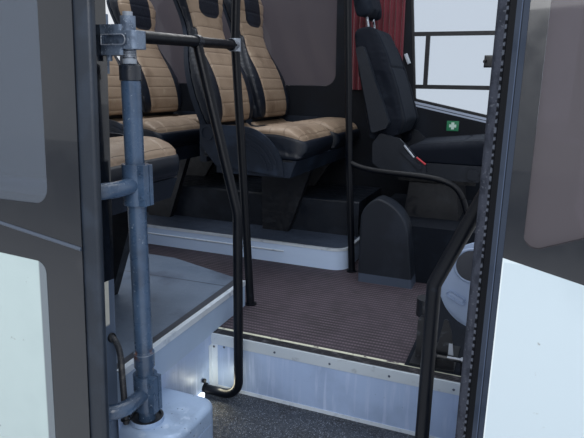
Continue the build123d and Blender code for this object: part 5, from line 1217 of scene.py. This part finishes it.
SIGN_X = 597
SIGN_Z = 667
sign_paint = Finish("first_aid_sign", tone(34, 120, 84), 0.4)
from_middle_x = sign_paint.maths("ABSOLUTE",
                                 sign_paint.maths("SUBTRACT", sign_paint.axis("X"), SIGN_X * 0.001))
sign_middle = SIGN_Z * 0.001 + 0.260
from_middle_z = sign_paint.maths("ABSOLUTE", sign_paint.maths("SUBTRACT", sign_paint.axis("Z"), sign_middle))
upright = sign_paint.both(sign_paint.fades(from_middle_x, 0.0075, 0.0085),
                          sign_paint.fades(from_middle_z, 0.0185, 0.0195))
level = sign_paint.both(sign_paint.fades(from_middle_z, 0.0075, 0.0085),
                        sign_paint.fades(from_middle_x, 0.0185, 0.0195))
sign_paint.paint(tone(196, 222, 214), sign_paint.maths("MAXIMUM", upright, level))
sign = inset_front(block(SIGN_X, 1595.4, SIGN_Z, 64, 2.4, 54), 2, (-0.3,))
finished(sign, "first_aid_sign", sign_paint)

# %% Make the belt's buckle
red_button = Finish("red_button", tone(196, 60, 70), 0.4)
# A plated strip along the recliner cover's front edge stands in for the highlight seen there.
edge_highlight_strip = inset_front(block(483, 983, 583, 74, 5, 9, math.radians(47)), 2, (-1,))
finished(edge_highlight_strip, "cover_edge_highlight", plating, "driver_seat", 0.001)
button = inset_front(block(541, 981, 543, 54, 6, 8, math.radians(35)), 2, (-1,))
finished(button, "buckle_button", red_button, "driver_seat", 0.002)

# %% [markdown]
# ### Fittings of the door and the step
# A coil spring presses the column's nut under the casting. A grey moulding runs over the leaf
# below its window. Rivets hold the step's angles, and a rubber stop sits beside the step lamp.

# %% Wind the spring
SPRING_TURNS = 4.5
SPRING_R = 0.0155
WIRE_R = 0.0017


def tube_along(name, centre_line, radius, around):
    """A closed tube of a set radius along a line of points."""
    points = []
    faces = []
    for number, middle in enumerate(centre_line):
        before = centre_line[max(number - 1, 0)]
        after = centre_line[min(number + 1, len(centre_line) - 1)]
        ahead = (after - before).normalized()
        side = ahead.cross(Vector((0, 0, 1)) if abs(ahead.z) < 0.9 else Vector((0, 1, 0))).normalized()
        other = ahead.cross(side)
        for step in range(around):
            angle = 2 * math.pi * step / around
            points.append(middle + (side * math.cos(angle) + other * math.sin(angle)) * radius)
        if number:
            here = (number - 1) * around
            for step in range(around):
                beside = (step + 1) % around
                faces.append((here + step, here + beside, here + around + beside, here + around + step))
    faces.append(tuple(reversed(range(around))))
    faces.append(tuple(range(len(points) - around, len(points))))
    mesh = bpy.data.meshes.new(name)
    mesh.from_pydata(points, [], faces)
    return linked(name, mesh)


coil = []
for step in range(int(SPRING_TURNS * 24) + 1):
    angle = 2 * math.pi * step / 24
    rise = 934.5 + 17.0 * step / (SPRING_TURNS * 24)
    coil.append(spot(68, -475, rise) + Vector((math.cos(angle), math.sin(angle), 0)) * SPRING_R)
finished(tube_along("column_spring", coil, WIRE_R, 8), "column_spring", plating, "column")

# %% [markdown]
# ### Details of the rails
# The hoop beside the cab is one bar, bent cold in wide curves. A smooth curve leads its tube, which
# takes the place of the CAD bar with its tight bends. Two small screws hold the rails' clamp.

# %% Bend the hoop and set the clamp's screws
HOOP_Y = 884
HOOP_R = 0.013
hoop_route = ((230, 528), (262, 512), (330, 497), (470, 492), (600, 488), (700, 468), (748, 415), (772, 340),
              (785, 262.5))
hoop_line = smooth_line("hoop_line", [spot(x, HOOP_Y, z) for x, z in hoop_route], 4, 12)
hoop = finished(tube_along("cab_hoop", hoop_line, HOOP_R, 24), "cab_hoop", rail_coat)
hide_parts("guard_hoop")
flange = disc(785, HOOP_Y, 264, 17, 4, (0, 0, 0), 32)
finished(flange, "cab_hoop_foot", rail_coat, bevel=0.001)
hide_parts("guard_hoop")

for number, (x, y) in enumerate(((-38.5, 289), (-31.5, 262))):
    screw = disc(x, y, 1012, 4.6, 5, (math.pi / 2, 0, 1.1), 24)
    finished(screw, f"clamp_screw_{number + 1}", rail_coat, bevel=0.0012)

# %% Run a bead round the casting's pocket
BEAD_Y = POCKET_PLANE + 0.0035
bead_line = [Vector((POCKET_REAR, BEAD_Y, POCKET_MIDDLE - POCKET_R)),
             Vector((POCKET_REAR, BEAD_Y, POCKET_MIDDLE + POCKET_R))]
for step in range(13):
    angle = math.pi / 2 - math.pi * step / 12
    bead_line.append(Vector((POCKET_TURN + POCKET_R * math.cos(angle), BEAD_Y,
                             POCKET_MIDDLE + POCKET_R * math.sin(angle))))
bead_line.append(bead_line[0])
casting_bead = finished(tube_along("casting_bead", bead_line, 0.0016, 8), "casting_bead", plating)
print("The bead is", len(casting_bead.data.polygons), "faces")

# %% Lay the leaf's moulding
moulding_line = []
for first, second in (((-690, 590), (-430, 586)), ((-430, 586), (-158, 549)), ((-158, 549), (85, 514))):
    for step in range(8):
        share = step / 8
        x, z = (low + (high - low) * share for low, high in zip(first, second))
        moulding_line.append(spot(x, -719 + SIDE_LEAN * z - 0.5, z))
moulding_line.append(spot(85, -719 + SIDE_LEAN * 514 - 0.5, 514))
leaf_trim = Finish("leaf_trim", tone(74, 84, 100), 0.4)
finished(tube_along("leaf_moulding", moulding_line, 0.0045, 12), "leaf_moulding", leaf_trim,
         "leaf")

# %% Set the rivets and the stop
rivet_head = Finish("rivet_head", tone(72, 82, 100), 0.4, metallic=0.4)
first_rivet = None
for number, (x, y,
             z) in enumerate(((11, -3.6, -48), (52, -3.6, -43), (250, -3.6, -22), (450, -3.6, -22),
                              (650, -3.6, -22), (850, -3.6, -22))):
    if first_rivet is None:
        bpy.ops.object.select_all(action="DESELECT")
        bpy.ops.mesh.primitive_uv_sphere_add(segments=16, ring_count=8, radius=0.0042, location=spot(x, y, z))
        first_rivet = bpy.context.object
        first_rivet.scale = (1, 0.45, 1)
        start = Vector((x, y, z))
        finished(first_rivet, "step_rivet_1", rivet_head)
        continue
    rivet = linked(f"step_rivet_{number + 1}", first_rivet.data.copy())
    rivet.data.transform(Matrix.Translation((Vector((x, y, z)) - start) * 0.001))
    finished(rivet, rivet.name, rivet_head)

stop = disc(9, -72, -150, 8, 12, (0, math.pi / 2, 0), 24)
finished(stop, "step_stop", dark_plastic, bevel=0.003)

bpy.ops.object.select_all(action="DESELECT")
bpy.ops.mesh.primitive_torus_add(location=spot(25, -512.5, -36), major_radius=0.0125, minor_radius=0.003,
                                 major_segments=28, minor_segments=10)
finished(bpy.context.object, "hose_grommet", dark_plastic)
collar = disc(10, -531, 214, 13, 9, (0, math.radians(70), 0), 28)
finished(collar, "hose_collar", dark_plastic, bevel=0.002)

# %% [markdown]
# ## The step lamp
# A small lamp in the well's corner is lit, so its lens glows and throws a patch on the sheet.

# %% Lens of the step lamp
lamp_lens = Finish("lamp_lens", tone(235, 240, 245), 0.2, emission_color=tone(235, 240, 250),
                   emission_strength=1.5)
lamp_lens.wear("step_lamp")

# %% [markdown]
# ## Floor, lamps and background
# The studio is a plain pale floor under soft light. The background's brightness is set for camera
# rays alone, so it is white to the eye without lighting the bus.

# %% Studio
FLOOR_SIZE = 40.0

bpy.ops.object.select_all(action="DESELECT")
bpy.ops.mesh.primitive_plane_add(size=FLOOR_SIZE, location=(0, 0, cad_box[0][2]))
studio_floor = bpy.context.object
studio_floor.name = "studio_floor"
floor_finish = Finish("studio_floor", tone(222, 223, 226), 0.8)
studio_floor.data.materials.append(floor_finish.material)

world = bpy.data.worlds.new("studio")
bpy.context.scene.world = world
world.use_nodes = True
world_nodes = world.node_tree.nodes
ambient = world_nodes["Background"]
ambient.inputs["Color"].default_value = (0.86, 0.92, 1.0, 1.0)
ambient.inputs["Strength"].default_value = 0.5
backdrop = world_nodes.new("ShaderNodeBackground")
backdrop.inputs["Color"].default_value = tone(226, 230, 236)
rays = world_nodes.new("ShaderNodeLightPath")
either = world_nodes.new("ShaderNodeMath")
either.operation = "MAXIMUM"
any_of_three = world_nodes.new("ShaderNodeMath")
any_of_three.operation = "MAXIMUM"
choose = world_nodes.new("ShaderNodeMixShader")
world_links = world.node_tree.links
world_links.new(rays.outputs["Is Camera Ray"], either.inputs[0])
world_links.new(rays.outputs["Is Glossy Ray"], either.inputs[1])
world_links.new(either.outputs[0], any_of_three.inputs[0])
world_links.new(rays.outputs["Is Transmission Ray"], any_of_three.inputs[1])
world_links.new(any_of_three.outputs[0], choose.inputs["Fac"])
world_links.new(ambient.outputs["Background"], choose.inputs[1])
world_links.new(backdrop.outputs["Background"], choose.inputs[2])
world_links.new(choose.outputs["Shader"], world_nodes["World Output"].inputs["Surface"])


def lamp(name, place, aim, size, power, colour=(1.0, 1.0, 1.0)):
    """A square soft lamp at a place, turned towards what it lights."""
    light = bpy.data.lights.new(name, "AREA")
    light.size = size
    light.energy = power
    light.color = colour
    made = bpy.data.objects.new(name, light)
    made.location = place
    made.rotation_euler = (Vector(aim) - Vector(place)).to_track_quat("-Z", "Y").to_euler()
    bpy.context.scene.collection.objects.link(made)
    return made


glow = bpy.data.lights.new("step_glow", "POINT")
glow.energy = 0.16
glow.color = (1.0, 0.93, 0.68)
glow.shadow_soft_size = 0.012
glow_holder = bpy.data.objects.new("step_glow", glow)
glow_holder.location = spot(66, -66, -158)
bpy.context.scene.collection.objects.link(glow_holder)

lamp("door_side_lamp", (1.6, -4.2, 3.4), (0.2, 0.0, 0.8), 3.0, 150)
lamp("roof_lamp", (-0.3, 0.6, 4.6), (-0.1, 0.5, 0.5), 3.0, 110, (0.92, 0.96, 1.0))
lamp("far_window_lamp", (-1.2, 3.6, 2.6), (-0.2, 0.6, 0.8), 2.0, 60)
